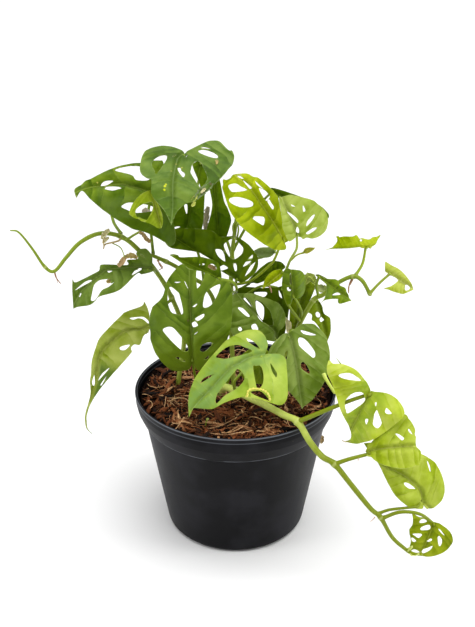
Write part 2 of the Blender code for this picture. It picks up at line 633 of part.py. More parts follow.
         petiole=[(-11, -1, 121), (0, 3, 145), (13, -3, 163)], on="vine_trailing", hidden=True),
    Leaf("leaf_front_right", "leaf_grey_green", (42, -20, 186), (53, -48, 133),
         [(286, 333.5), (281, 335.5), (276, 340), (272, 345), (269, 351), (268, 360), (270, 370),
          (275, 380), (282, 388), (289, 392), (298.5, 403)],
         [(300, 325), (304, 323.7), (309, 323.3), (314, 324.5), (318, 327), (325, 335.5), (327.5, 341),
          (329, 348), (329.7, 356), (328.5, 366), (325.5, 380), (314.5, 397.5), (311, 401.5), (304, 406)],
         [[(301, 330.5), (304, 330.3), (315.5, 334.5), (311, 335.3), (305, 334), (302, 332.5)],
          [(298, 340), (299.5, 338), (302, 337.8), (306, 340), (310.5, 345), (314, 351), (315, 356),
          (313.5, 357.8), (310, 355.5), (300.5, 346.5), (298.5, 343)],
          [(284.3, 358), (284.5, 354), (286, 351.2), (287.8, 352), (287.3, 356), (286, 359.7)],
          [(301, 366), (301.3, 363), (303, 362.3), (306, 364.5), (308.5, 368), (310, 372), (308.5, 373.8),
          (302, 369)]],
         petiole=[(48, 12, 165), (49, 2, 177), (45, -10, 184)], on="vine_right_climbing"),
    Leaf("leaf_right_back", "leaf_mid_green", (67.7, 17, 200), (77.2, 10, 164.6),
         [(318.5, 300), (320.5, 303), (322.5, 307), (323.3, 311), (325, 314), (329.5, 317), (330.3, 320),
          (331, 329), (330, 334)],
         [(313, 304), (310, 309), (308.5, 312.5), (311, 314), (312, 316), (312, 320), (314.5, 322),
          (318, 326), (323.5, 334)],
         [[(315.5, 313.5), (317, 312), (319, 312.5), (320.3, 315), (319.5, 317), (317, 317)],
          [(319.5, 319), (321.5, 317.5), (323, 318.5), (324, 320.5), (322.5, 322), (320.5, 321.5)]],
         petiole=[(62, 9, 199), (63.5, 14, 200)], on="vine_right_climbing"),
    Leaf("leaf_ruffled", "leaf_dark", (65, -6, 230), (92, -14, 212),
         [(316, 274.5), (319, 274.5), (325, 277), (328, 279), (336, 279.5), (339, 282), (340, 285.5),
          (344, 287), (346, 289), (346.5, 292), (348.5, 295), (349.5, 298)],
         [(325.5, 283), (326.5, 286), (326.5, 290), (325.5, 295), (324, 299), (321, 302.7), (325, 300),
          (337, 298.7), (338, 301.5), (340, 303.7)],
         [[(332.5, 295), (335, 293), (338, 292.3), (340, 293), (340, 294.5)]],
         wave=0.06, petiole=[(68, 7, 206), (65, -1, 219)], on="vine_right_climbing"),
    Leaf("leaf_olive_back", "leaf_olive", seen(293, 334, 31), (61, 27, 217),
         [(290, 326), (289.5, 318), (290.5, 300), (292, 290), (295, 282), (299, 277), (304, 274.3)],
         [(297, 329.5), (316, 286), (316.5, 281), (313, 277)],
         petiole=[(35, 15, 138), (46, 22, 150)], on="vine_right_climbing"),
    Leaf("leaf_middle_dark", "leaf_dark", seen(246, 284, 20), seen(285, 266, 20),
         [(249, 279.5), (260, 268.5), (264, 265), (268, 262.5), (272, 261), (277, 260.8), (282, 262.5)],
         [(252, 283), (257, 283.5), (262, 282), (268, 279), (274, 275.5), (284, 268.5)],
         petiole=[(-4, 17, 200), (3, 22, 206)], on="vine_centre"),
    Leaf("leaf_middle_shade", "leaf_dark", (38, 9.5, 214), (34, 9, 166),
         [(262, 288), (250, 287.2), (241, 287.5), (236.5, 290), (240, 295), (246, 298.5), (262, 321),
          (265, 326), (267, 332), (270, 338)],
         [(285, 288), (287.5, 293), (289, 302), (289, 312), (284, 336), (280, 340.5)],
         [[(256.5, 300.5), (263, 305.5), (264, 312), (263.5, 318), (262, 320), (257.5, 313.5), (256, 306)],
          [(255.5, 292), (266.5, 292), (264, 297), (255, 294.5)],
          [(278.5, 291), (280, 292), (281.8, 298.5), (279.5, 297.5)]],
         petiole=[(-4, 18, 193), (2, 11, 200), (9, 7.5, 208), (22, 7, 216)], on="vine_centre"),
    Leaf("leaf_rolled_young", "leaf_mid_green", seen(294, 298, -16), seen(291, 270, -20),
         [(289, 306), (286, 300), (283, 292), (282, 285), (282.5, 276), (284, 270.5), (287, 268)],
         [(299, 298), (303, 294.5), (305, 288), (305.3, 280), (303.7, 274), (300, 270.3), (295, 269.6)],
         [[(289.7, 275), (291.3, 275), (292, 284), (290.2, 284)],
          [(287, 287.5), (290.8, 287), (290.5, 291), (287.8, 290.5)]],
         cup=0.9, petiole=[(54, 10, 186), (53, -2, 199)], on="vine_right_climbing"),
    Leaf("leaf_lime_tip", "leaf_lime", seen(283, 271, -14), seen(262.5, 289, -16),
         [(281, 269.5), (276, 270), (271.5, 272), (267.5, 276), (264.5, 281)],
         [(283, 275), (281, 278.5), (277, 281.5)],
         cup=0.5, stalk=0.9, petiole=[(39, -8, 231), (37, -9, 234)], on="leaf_pale_right"),
    Leaf("leaf_bud_right", "leaf_olive", (52, -12, 252), (62, -12, 256),
         [(0.25, -0.20), (0.60, -0.18)],
         [(0.25, 0.18), (0.60, 0.16)],
         cup=0.5, stalk=0.8, petiole=[(43, -13, 246), (48, -12, 250)], on="leaf_pale_right", hidden=True),
    Leaf("sheath_dry", "sheath_straw", seen(289, 333, 3), seen(285.5, 317, 1),
         [(286.4, 331), (286, 325), (285, 320)],
         [(291, 331), (291, 323), (288.6, 320)],
         cup=0.6, stalk=0.9, petiole=[(48, 12, 163), (45, 9, 167)], on="vine_right_climbing"),
    Leaf("leaf_right_small", "leaf_lime", (107, 10, 248), (70, -2, 250),
         [(371, 249), (373.5, 246.5), (376, 243.5), (377.5, 240), (380.5, 235.2), (377, 236.5), (373, 237),
          (369, 239.5), (362, 238), (359.5, 238.5), (356.5, 235), (353, 236.5), (344, 236.5), (340, 237),
          (338, 236), (336.5, 236.5), (337.3, 239), (337, 242), (334, 245.5), (332, 247.5)],
         [(364, 248.3), (360, 247.5), (350, 248.8), (332, 249)],
         [[(359.8, 240), (361, 239), (362.3, 240.5), (361, 241.5)]],
         roll=25, petiole=[(96, 0, 228), (102, 6, 236)], on="vine_right_climbing"),
    Leaf("leaf_far_right", "leaf_lime", (120, -12, 235), (139, -20, 224),
         [(385.5, 270), (384.8, 263), (386, 261.8), (392, 265.5), (399, 269), (404, 273.5), (410, 281),
          (412, 285)],
         [(389.5, 274.5), (393, 275.5), (398.5, 279.5), (392, 285.5), (384.3, 288.5), (388.5, 289.5),
          (393, 291.5), (398, 293), (402, 294), (405, 293.5), (409, 292)],
         [[(405.3, 285), (407, 284), (409.5, 286), (410.3, 288), (408, 290), (405, 290)]],
         petiole=[(107.5, -6, 215), (114, -9, 225)], on="vine_right_climbing"),
    Leaf("leaf_trailing_1", "leaf_lime", (101, -78, 165), (83, -86, 127),
         [(370, 389), (367, 382.5), (364.5, 379), (355, 369.5), (342, 363.7), (333, 363.5), (329.5, 360.5),
          (328, 363), (327.2, 372), (333, 386), (341, 412), (348.5, 425), (350, 430), (351, 435),
          (350, 439.5)],
         [(372, 391.6), (386, 393), (396, 398), (400, 402), (402.5, 406), (403.8, 410), (404, 416),
          (393, 426), (387, 430.5), (374, 439), (363, 442.5), (358, 443.5), (353, 443.5)],
         [[(339, 376), (340.5, 374), (344, 373), (349, 373), (354, 374.5), (361, 380.5), (356, 380.7),
          (344, 379)],
          [(345, 406), (345.5, 401), (349, 396.5), (354, 393), (360, 391.8), (363.5, 394), (365, 398),
          (364.5, 401), (361, 404.5), (348, 413.3), (346, 410)],
          [(376.5, 410), (378, 411.5), (381.5, 421.5), (381, 425.5), (378.5, 428), (375.5, 427.5),
          (373, 424.5), (373.2, 419.5), (374.5, 414)],
          [(384.8, 412), (385.5, 409.5), (387.3, 408), (391.7, 413), (390, 414.3), (386.5, 414)],
          [(365, 420.5), (366.2, 418.7), (367.9, 419.8), (366.6, 424.3)],
          [(375, 403), (376.2, 402.5), (376.5, 405.5), (375.5, 406.2)]],
         wave=0.05, stalk=1.9, petiole=[(48, -69, 134), (58, -74, 142), (72, -76, 150), (87, -76, 157)],
         on="vine_trailing"),
    Leaf("leaf_trailing_2", "leaf_lime", (99, -94, 122), (137, -104, 118),
         [(366, 450), (375, 438), (392, 423), (403, 415.5), (405.5, 414.3), (407.5, 415.5), (408.5, 418.5),
          (411, 421), (413.5, 425), (415, 430), (415, 434), (416, 437.5), (415.5, 441), (416, 446),
          (420.5, 451), (421, 456)],
         [(367, 456), (371, 457), (374, 460), (379, 463), (385, 465.5), (392, 467.3), (400, 468.5),
          (408, 468)],
         [[(395.5, 434), (398, 434), (401, 435.5), (404, 438.3), (403, 440), (401, 439.5)],
          [(408.3, 429.5), (409.5, 429), (411.5, 432), (412.5, 434.8), (409, 432)]],
         wave=0.05, stalk=1.7, petiole=[(75, -94, 112), (86, -96, 118)], on="vine_trailing"),
    Leaf("leaf_trailing_3", "leaf_lime", (146, -94, 76), (98, -82, 123),
         [(423.6, 506), (421, 509), (411, 508), (406, 505), (396, 496), (388, 484), (376, 460), (368, 450)],
         [(424.6, 506), (427, 508.5), (430, 509), (434, 507.5), (438, 504.5), (441.5, 500.5), (443.5, 495),
          (444.3, 489), (442.5, 476), (436.5, 464.5), (432.5, 460), (421, 454), (395, 445), (380, 442)],
         [[(404, 483), (405.5, 482.3), (410, 484), (415.5, 488.5), (413, 489.3), (409, 488),
          (405.5, 485.5)],
          [(426.8, 462), (428, 462), (430, 466), (431, 471), (430, 471)]],
         petiole=[(108.5, -104, 73.5), (118, -101, 75), (130, -100, 76), (140, -98, 76)], on="vine_trailing"),
    Leaf("leaf_trailing_4", "leaf_lime", (153, -104, 65), (143, -112, 40),
         [(427, 518), (420, 515), (412.5, 513), (412.8, 518), (412.5, 524), (411, 527), (409.2, 529.5),
          (409.5, 534), (410.5, 538), (410.5, 543), (409.5, 547), (410.5, 552), (413, 555)],
         [(438.5, 523), (443, 525.5), (447.5, 529), (451, 533.5), (453, 539), (452.8, 542), (450, 547),
          (446, 550.5), (440, 554), (434, 556), (428, 556.7)],
         [[(419.5, 522), (420.5, 520), (423, 519), (426, 520), (427, 521.5), (424, 523), (420.5, 523)],
          [(420.3, 528.5), (423, 526.5), (428, 525), (430.3, 526), (430.2, 529), (427, 530), (421.5, 530)],
          [(412.7, 534), (420, 533.7), (422, 535), (420.5, 537), (418.5, 538), (415, 536)],
          [(411.3, 538.3), (412.5, 537.7), (415.5, 540), (416.3, 541.2), (414, 542), (412, 541)],
          [(427, 542.5), (429, 540), (431, 538.8), (432.3, 539.5), (431, 541.2)],
          [(425, 549), (432.5, 546), (431, 549), (427, 552), (423, 553.3), (422, 551.7)],
          [(411.5, 551), (412.7, 549.7), (416, 549.7), (419.5, 552), (416, 553)],
          [(437.8, 538), (438.8, 536), (440, 536.5), (442, 540), (441.5, 544), (440, 546.3),
          (438.5, 544.5)],
          [(438.5, 529), (440.5, 530.2), (444.5, 535.5), (441.5, 533.5)],
          [(414.5, 514.2), (418, 514.6), (423, 517), (419, 516.7)]],
         stalk=1.5, petiole=[(112, -105, 70), (125, -109, 79), (140, -109, 77)], on="vine_trailing"),
]

COLOURS = {
    "leaf_mid_green": (0.095, 0.23, 0.045),
    "leaf_dark": (0.045, 0.15, 0.018),
    "leaf_lime": (0.34, 0.50, 0.06),
    "leaf_grey_green": (0.10, 0.20, 0.06),
    "leaf_olive": (0.25, 0.36, 0.06),
    "sheath_straw": (0.55, 0.50, 0.25),
    "vine_olive": (0.17, 0.28, 0.05),
    "vine_lime": (0.38, 0.50, 0.12),
}


def pot_outside():
    """The pot's outer face from the edge of its underside up to the top of its lip."""
    band_foot = POT_HEIGHT - BAND_DEPTH
    bead = LIP_THICKNESS / 2
    rounding = [
        (BASE_RADIUS - BASE_ROUNDING * (1 - math.sin(turn)), BASE_ROUNDING * (1 - math.cos(turn)))
        for turn in (math.radians(30 * k) for k in range(4))
    ]
    return rounding + [
        (BAND_FOOT_RADIUS - LEDGE_STEP, band_foot - 1.0),
        (BAND_FOOT_RADIUS, band_foot + 0.6),
        (BAND_FOOT_RADIUS + 1.8, band_foot + 4.8),
        (RIM_RADIUS - 1.8, POT_HEIGHT - 14.5),
        (RIM_RADIUS - 0.6, POT_HEIGHT - 8.5),
        (RIM_RADIUS - 0.5, POT_HEIGHT - 4.0),
        (RIM_RADIUS, POT_HEIGHT - bead),
        (RIM_RADIUS - bead * 0.5, POT_HEIGHT - bead * 0.15),
        (RIM_RADIUS - bead * 1.2, POT_HEIGHT),
    ]


def pot_inside():
    """The pot's inner face from the lip's inner edge down to its floor."""
    band_foot = POT_HEIGHT - BAND_DEPTH
    return [
        (RIM_RADIUS - LIP_THICKNESS, POT_HEIGHT - LIP_THICKNESS / 2),
        (RIM_RADIUS - 3.0, POT_HEIGHT - 9.0),
        (RIM_RADIUS - 3.8, POT_HEIGHT - 15.0),
        (BAND_FOOT_RADIUS - WALL, band_foot + 3.0),
        (BAND_FOOT_RADIUS - LEDGE_STEP - WALL, band_foot - 2.0),
        (BASE_RADIUS - WALL - 0.3, FLOOR + 4.0),
        (BASE_RADIUS - WALL - 4.0, FLOOR),
    ]


def inner_radius(height):
    """The pot's inner radius at a height, between its floor and its lip."""
    upward = pot_inside()[::-1]
    for (r1, z1), (r2, z2) in zip(upward, upward[1:]):
        if z1 <= height <= z2:
            return r1 + (r2 - r1) * (height - z1) / (z2 - z1)
    return upward[-1][0]


def make_pot():
    wall = [(0.0, 0.0)] + pot_outside() + pot_inside() + [(0.0, FLOOR)]
    points, faces = lathe(wall, POT_SIDES)
    return object_from("pot", points, faces, material("pot_plastic", (0.017, 0.017, 0.020), 0.42))


def make_soil(feet):
    """The mix as a body that fills the pot, rough on top, with a plain hole for each stem."""
    dice = random.Random(7)
    gap = SOIL_GAP / math.cos(math.pi / SOIL_SPOKES) + 0.15
    band_foot = POT_HEIGHT - BAND_DEPTH
    levels = (FLOOR + SOIL_GAP, FLOOR + 6.0, band_foot - 3.0, band_foot + 4.0, SOIL_TOP - 2.0)
    profile = [(0.0, levels[0])]
    for height in levels:
        profile.append((inner_radius(height) - gap - 0.5, height))
    edge = inner_radius(SOIL_TOP) - gap - 1.5
    profile.append((edge, SOIL_TOP - 0.6))
    for k in range(1, SOIL_RINGS):
        profile.append((edge * (1 - k / SOIL_RINGS), SOIL_TOP))
    profile.append((0.0, SOIL_TOP + 0.5))
    points, faces = lathe(profile, SOIL_SPOKES)
    for i, p in enumerate(points):
        if p.z >= SOIL_TOP - 0.1 and i < len(points) - 1:
            p.z += dice.uniform(-SOIL_ROUGHNESS, SOIL_ROUGHNESS)
    soil = object_from("potting_mix", points, faces, material("coir_mix", (0.075, 0.032, 0.020), 0.95),
                       smooth=False)
    cutters = []
    for number, (path, radius) in enumerate(feet):
        down = path[0] + (path[0] - path[1]).normalized() * 3.0
        wide = radius * 1.06 + HOLE_CLEARANCE * 1.4
        cut_points, cut_faces = tube([down] + path[1:], [wide] * 3, 10)
        cutters.append(object_from(f"stem_hole_{number}", cut_points, cut_faces, soil.data.materials[0]))
    combine(soil, cutters, "DIFFERENCE")
    return soil


def make_vine(vine):
    points, faces = tube(vine.path, vine.radii, VINE_SIDES)
    stem = object_from(vine.name, points, faces, material(vine.kind, COLOURS[vine.kind], 0.45),
                       origin=vine.path[0])
    roots = []
    for start, end in vine.roots:
        points, faces = tube([start, end], [ROOT_RADIUS, ROOT_RADIUS * 0.6], 5)
        roots.append(object_from(vine.name + "_root", points, faces, stem.data.materials[0]))
    if roots:
        combine(stem, roots, "UNION")
    return stem


def trimmed(path, radius, vine):
    """The petiole's path with its start moved out until its end cap clears the vine's skin."""
    path = list(path)
    while len(path) > 2:
        ahead = (path[1] - path[0]).normalized()
        side = ahead.orthogonal().normalized()
        third = ahead.cross(side)
        ring = [
            path[0] + (side * math.cos(a) + third * math.sin(a)) * radius
            for a in (k * math.pi / 6 for k in range(12))
        ]
        if min(vine.distance(p) for p in ring) >= JOINT_GAP:
            break
        step = path[1] - path[0]
        if step.length > 0.4:
            path[0] = path[0] + step.normalized() * 0.1
        else:
            path.pop(0)
    return path


def make_leaf(leaf, vines, petioles):
    points, faces = leaf.solid()
    blade = object_from(leaf.name, points, faces, material(leaf.kind, COLOURS[leaf.kind], 0.4),
                        origin=leaf.base)
    entry, _ = leaf.surface(0.05, 0.0)
    under = entry - leaf.facing * 0.2
    path = catmull(list(leaf.petiole) + [under - leaf.facing * 2.2, under], 2)
    radius = leaf.stalk
    host = vines.get(leaf.on)
    if host:
        path = trimmed(path, radius, host)
    radii = [radius * (1.0 - 0.25 * k / (len(path) - 1)) for k in range(len(path))]
    petioles[leaf.name] = (path, radii)
    stalk_points, stalk_faces = tube(path, radii, PETIOLE_SIDES)
    stalk = object_from(leaf.name + "_petiole", stalk_points, stalk_faces, blade.data.materials[0],
                        origin=leaf.base)
    combine(blade, [stalk], "UNION")
    return blade


class Stalk:
    """A petiole that another leaf hangs from, with a vine's way of telling how near a point is."""

    def __init__(self, path, radii):
        self.path = path
        self.radii = radii

    distance = Vine.distance


def build():
    for obj in list(bpy.data.objects):
        bpy.data.objects.remove(obj)
    make_pot()
    feet = [(vine.path[:3], vine.radii[0]) for vine in VINES]
    for leaf in LEAVES:
        if leaf.on == "potting_mix":
            feet.append(([Vector(p) for p in leaf.petiole[:3]], leaf.stalk))
    make_soil(feet)
    hosts = {}
    for vine in VINES:
        make_vine(vine)
        hosts[vine.name] = vine
    petioles = {}
    for leaf in LEAVES:
        make_leaf(leaf, hosts, petioles)
        hosts[leaf.name] = Stalk(*petioles[leaf.name])


build()
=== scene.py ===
"""Potted Swiss-cheese vine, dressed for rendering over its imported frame.

Lengths in the tables are in millimetres. The front of the plant is -Y, up is +Z, and the pot
stands on Z = 0 about the origin.
"""

import math
from dataclasses import dataclass

import bpy
import numpy as np
from bpy.props import FloatProperty, FloatVectorProperty, IntProperty, PointerProperty
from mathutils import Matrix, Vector, noise
from mathutils.geometry import delaunay_2d_cdt


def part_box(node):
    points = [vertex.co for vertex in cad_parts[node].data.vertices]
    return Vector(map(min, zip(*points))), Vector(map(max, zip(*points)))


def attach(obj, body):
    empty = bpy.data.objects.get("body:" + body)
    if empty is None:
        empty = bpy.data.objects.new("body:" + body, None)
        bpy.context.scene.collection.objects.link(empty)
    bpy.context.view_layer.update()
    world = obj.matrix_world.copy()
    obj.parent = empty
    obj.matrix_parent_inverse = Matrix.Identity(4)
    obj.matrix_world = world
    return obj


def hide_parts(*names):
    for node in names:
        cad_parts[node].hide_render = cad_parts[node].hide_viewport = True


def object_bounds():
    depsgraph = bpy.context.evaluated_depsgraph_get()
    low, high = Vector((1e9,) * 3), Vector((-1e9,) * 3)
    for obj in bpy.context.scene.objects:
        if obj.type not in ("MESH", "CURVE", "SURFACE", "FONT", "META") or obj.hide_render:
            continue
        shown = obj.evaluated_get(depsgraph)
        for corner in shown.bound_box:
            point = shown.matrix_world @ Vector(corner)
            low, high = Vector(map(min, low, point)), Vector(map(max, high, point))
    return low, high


bl_info = {
    "name": "Potted Swiss-Cheese Vine",
    "version": (1, 0, 0),
    "blender": (4, 5, 0),
    "location": "View3D > Sidebar > Plant",
    "description": "Builds a Swiss-cheese vine in a nursery pot, piece by piece",
    "category": "Object",
}

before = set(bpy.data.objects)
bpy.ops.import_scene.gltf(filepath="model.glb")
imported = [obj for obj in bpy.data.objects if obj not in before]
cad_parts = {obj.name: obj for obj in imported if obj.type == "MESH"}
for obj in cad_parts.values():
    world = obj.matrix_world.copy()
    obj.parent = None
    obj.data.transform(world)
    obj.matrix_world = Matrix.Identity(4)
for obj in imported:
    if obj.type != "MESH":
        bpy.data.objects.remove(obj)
CAD_LOW, CAD_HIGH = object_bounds()
POT_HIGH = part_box("pot")[1]
MIX_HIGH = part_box("potting_mix")[1]

MM = 0.001
BLACK = (0.0, 0.0, 0.0)

# What a blade faces, as nearly as its midrib allows, before it is rolled
LIGHT = np.array([0.0, -0.8, 0.6])

# How finely lines are drawn between their points; an edge of more than FINE_EDGE points, and every
# hole, takes FINE_STEPS
EDGE_STEPS = 10
FINE_STEPS = 5
FINE_EDGE = 8
LINE_STEPS = 6
PATH_STEPS = 8
MARGIN_RIPPLE = 0.004

# Sides of the round pieces, and rings of the mix's bed and chips
POT_SIDES = 160
BED_SIDES = 120
BED_RINGS = 46
STEM_SIDES = 18
PETIOLE_SIDES = 12
THIN_SIDES = 8
STRAND_SIDES = 4
CHIP_SIDES = 6
CHIP_RINGS = 5

# The mix's random draws: their seed, and how far from the middle chips and fibres may lie
MIX_SEED = 11
CHIP_SPREAD = 80.5
STRAND_SPREAD = 78.0

# In millimetres: a flake's thickness, the mark of a tube without nodes, and the length of blade on
# which blemishes are laid out
FLAKE_THICKNESS = 0.3
FAR_FROM_NODE = 50.0
BLEMISHED_BLADE = 62.0

# Camera, as the picture was taken
CAMERA_PLACE = (0.0016, -0.647, 0.488)
CAMERA_PITCH = 24.4
CAMERA_LENS = 50.0
SENSOR_WIDTH = 36.0

# The same view in picture points, which count right and down from the picture's corner
EYE = np.array(CAMERA_PLACE) / MM
FOCAL_LENGTH = 871.0
PICTURE_MIDDLE = (237.5, 313.5)
SIGHT_STEPS = 60


# The studio, in metres: the floor's half side, the top light's spread in degrees and where it comes
# from, and what the side panels are aimed at and how large they are
FLOOR_REACH = 30.0
SUN_SPREAD = 62
SUN_FROM = (0.1, -0.04, 1.0)
PANEL_AIM = (0, 0, 0.12)
PANEL_SIZE = (0.35, 0.9)


def display(red, green, blue):
    """A display colour, each channel 0 to 255, as the linear colour that shaders take."""
    shares = (red / 255, green / 255, blue / 255)
    return tuple(c / 12.92 if c <= 0.04045 else ((c + 0.055) / 1.055) ** 2.4 for c in shares)


class Signal:
    """A shader socket that takes part in Python arithmetic; each operation adds its Math node."""

    def __init__(self, finish, socket):
        self.finish = finish
        self.socket = socket

    def math(self, operation, *others):
        return self.finish.node("Math", {"operation": operation}, dict(enumerate((self, *others))))

    def __add__(self, other):
        return self.math("ADD", other)

    __radd__ = __add__

    def __mul__(self, other):
        return self.math("MULTIPLY", other)

    __rmul__ = __mul__

    def __sub__(self, other):
        return self.math("SUBTRACT", other)

    def __rsub__(self, other):
        return self.finish.node("Math", {"operation": "SUBTRACT"}, {0: other, 1: self})

    def __truediv__(self, other):
        return self.math("DIVIDE", other)

    def __rtruediv__(self, other):
        return self.finish.node("Math", {"operation": "DIVIDE"}, {0: other, 1: self})

    def __pow__(self, other):
        return self.math("POWER", other)

    def __abs__(self):
        return self.math("ABSOLUTE")

    def fraction(self):
        return self.math("FRACT")

    def least(self, other):
        return self.math("MINIMUM", other)

    def most(self, other):
        return self.math("MAXIMUM", other)

    def rise(self, low, high, first=0.0, last=1.0):
        """The first number below low, the last above high, smooth between."""
        return self.finish.node(
            "MapRange",
            {"interpolation_type": "SMOOTHSTEP"},
            {0: self, 1: low, 2: high, 3: first, 4: last},
        )

    def fall(self, low, high):
        """1 below low, 0 above high, smooth between."""
        return self.rise(low, high, 1.0, 0.0)


class Finish:
    """One material being made."""

    def __init__(self, name):
        self.material = bpy.data.materials.new(name)
        self.material.use_nodes = True
        self.tree = self.material.node_tree
        self.tree.nodes.clear()
        self.place = None

    def node(self, kind, settings=None, sockets=None, output=0):
        """Adds one node: its settings are set first, then its sockets get their values or links."""
        made = self.tree.nodes.new("ShaderNode" + kind)
        for name, value in (settings or {}).items():
            if name == "stops":
                ramp = made.color_ramp
                while len(ramp.elements) < len(value):
                    ramp.elements.new(1.0)
                for element, (place, colour) in zip(ramp.elements, value):
                    element.position = place
                    element.color = (*colour, 1.0)
            else:
                setattr(made, name, value)
        for name, value in (sockets or {}).items():
            socket = made.inputs[name]
            if isinstance(value, Signal):
                self.tree.links.new(value.socket, socket)
            elif isinstance(value, (tuple, list)) and len(value) == 3 and socket.type == "RGBA":
                socket.default_value = (*value, 1.0)
            else:
                socket.default_value = value
        return Signal(self, made.outputs[output]) if len(made.outputs) else None

    def mix(self, one, other, share, blend="MIX"):
        """Colour one where share is 0 and other where it is 1."""
        return self.node(
            "Mix",
            {"data_type": "RGBA", "blend_type": blend, "clamp_factor": True},
            {0: share, 6: one, 7: other},
            2,
        )

    def millimetres(self):
        """Where a point of the piece is, in millimetres."""
        if self.place is None:
            spot = self.node("TexCoord", output="Object")
            self.place = self.node(
                "VectorMath", {"operation": "SCALE"}, {"Vector": spot, "Scale": 1000.0}
            )
        return self.place

    def stretched(self, x, y, z):
        return self.node(
            "VectorMath", {"operation": "MULTIPLY"}, {0: self.millimetres(), 1: (x, y, z)}
        )

    def noise(self, size, detail=2.0, roughness=0.5, vector=None, distortion=0.0):
        """Cloudy noise, 0 to 1, whose spots are about size millimetres across."""
        return self.node(
            "TexNoise",
            {"noise_dimensions": "3D"},
            {
                "Vector": vector or self.millimetres(),
                "Scale": 1.0 / size,
                "Detail": detail,
                "Roughness": roughness,
                "Distortion": distortion,
            },
        )

    def map(self, name):
        """The two numbers kept with each corner under a name."""
        spot = self.node("UVMap", {"uv_map": name})
        return (
            self.node("SeparateXYZ", None, {0: spot}, 0),
            self.node("SeparateXYZ", None, {0: spot}, 1),
        )

    def bump(self, height, depth, strength=1.0):
        """A normal from a height signal of 0 to 1, depth millimetres deep."""
        return self.node(
            "Bump", None, {"Strength": strength, "Distance": depth * MM, "Height": height}
        )

    def principled(self, **sockets):
        named = {name.replace("_", " "): value for name, value in sockets.items()}
        return self.node("BsdfPrincipled", None, named)

    def thin(self, shader, share, tint):
        """The material of a thin sheet, which lets a share of the light through in a tint."""
        through = self.node("BsdfTranslucent", None, {"Color": tint})
        return self.done(self.node("MixShader", None, {0: share, 1: shader, 2: through}))

    def done(self, shader):
        self.node("OutputMaterial", None, {"Surface": shader})
        return self.material


def leaf_top(name, tint, light, vein, rim, gloss=0.4, sheen=0.2, glow=0.28, glow_tint=None,
             middle=None, blemishes=(), depth=1.0, far_half=None):
    """The upper face of a blade: clouded light to dark, with its veins drawn in.
    Its swellings carry painted shade and light on their flanks, its grooves and darkest clouds
    painted shade, and its cut edges a painted highlight.

    blemishes are (place along the blade, millimetres off the midrib, radius, colour); the last
    argument is a colour, the millimetres off the midrib between which it sets in, and the same
    along
    the blade: painted shade on one blade, painted light on another, and a turned-over half's own
    colour on a third.
    """
    f = Finish(name)
    vein_place, off_midrib = f.map("veins")
    to_edge, along = f.map("edge")
    cloud = f.noise(26.0, 2.0, distortion=0.4)
    drift = f.noise(15.0, 2.0, distortion=0.8)
    patch = f.noise(5.0, 3.0, 0.6)
    grain = f.noise(1.1, 3.0, 0.6)
    wander = (f.noise(7.0, 2.0) - 0.5) * 0.3
    across_swelling = (vein_place + wander).fraction()
    from_vein = abs((vein_place + wander + 0.5).fraction() - 0.5)
    # Painted shade and light: one flank of each swelling between the side veins darker, the other
    # lighter
    painted_flank_shade = (across_swelling - 0.5) * (drift - 0.28) * 2.6
    midrib = abs(off_midrib).fall(0.1, 0.85 - along * 0.45)
    beside_midrib = abs(off_midrib).rise(0.4, 0.9) * abs(off_midrib).fall(1.2, 4.0)
    side_vein = from_vein.fall(0.0, 0.03) * to_edge.rise(0.5, 5.0)
    share = 0.42 + (cloud - 0.5) * 2.6 + (patch - 0.5) * 1.0 + painted_flank_shade
    colour = f.mix(tint, light, share.least(1.0).most(0.0))
    # Painted shade: where the clouds and the painted flank shade run darkest, the green deepens
    # towards black
    deep = blend(tint, BLACK, 0.5)
    colour = f.mix(colour, deep, (0.12 - share).most(0.0).least(0.7) * 1.4 * depth)
    if middle:
        inner = abs(off_midrib).fall(5.0, 20.0) * (patch.rise(0.25, 0.6) * 0.6 + 0.3)
        colour = f.mix(colour, middle, inner)
    # Painted shade in the grooves beside the midrib and along some of the side veins
    groove_shade = (beside_midrib * 0.35).most(side_vein * drift.rise(0.4, 0.55) * 0.5)
    colour = f.mix(colour, deep, groove_shade)
    colour = f.mix(colour, vein, midrib.most(side_vein * drift.fall(0.42, 0.6) * 0.7) * 0.65)
    if far_half:
        # A far part of the blade in another colour: painted shade on the upper left leaf, painted
        # light on the front leaf, and the upper face of the drooping leaf's turned-over half
        shade, off_low, off_high, low, high = far_half
        beyond = (off_midrib + (patch - 0.5) * 2.0).rise(off_low, off_high) * along.rise(low, high)
        colour = f.mix(colour, shade, beyond * 0.85)
    for place, off, radius, spot in blemishes:
        away = ((along - place) * BLEMISHED_BLADE) ** 2.0 + (off_midrib - off) ** 2.0
        ragged = away + (grain - 0.5) * radius * radius * 2.0
        colour = f.mix(colour, spot, ragged.fall(0.0, radius * radius))
    # Painted highlight: the rim colour along the cut edges, broken up by noise, where the edges
    # catch the light
    worn = to_edge.fall(0.02, 0.45) * f.noise(4.0, 2.0).rise(0.42, 0.62)
    colour = f.mix(colour, rim, worn * 0.45)
    height = grain * 0.4 + patch * 0.9 - side_vein * 0.4 - midrib * 0.6
    shader = f.principled(
        Base_Color=colour,
        Roughness=gloss + (patch - 0.5) * 0.24 + (grain - 0.5) * 0.08,
        Specular_IOR_Level=sheen,
        Specular_Tint=(*blend(light, (1.0, 1.0, 1.0), 0.5), 1.0),
        Normal=f.bump(height, 0.35, 0.8),
    )
    return f.thin(shader, glow, glow_tint or light)


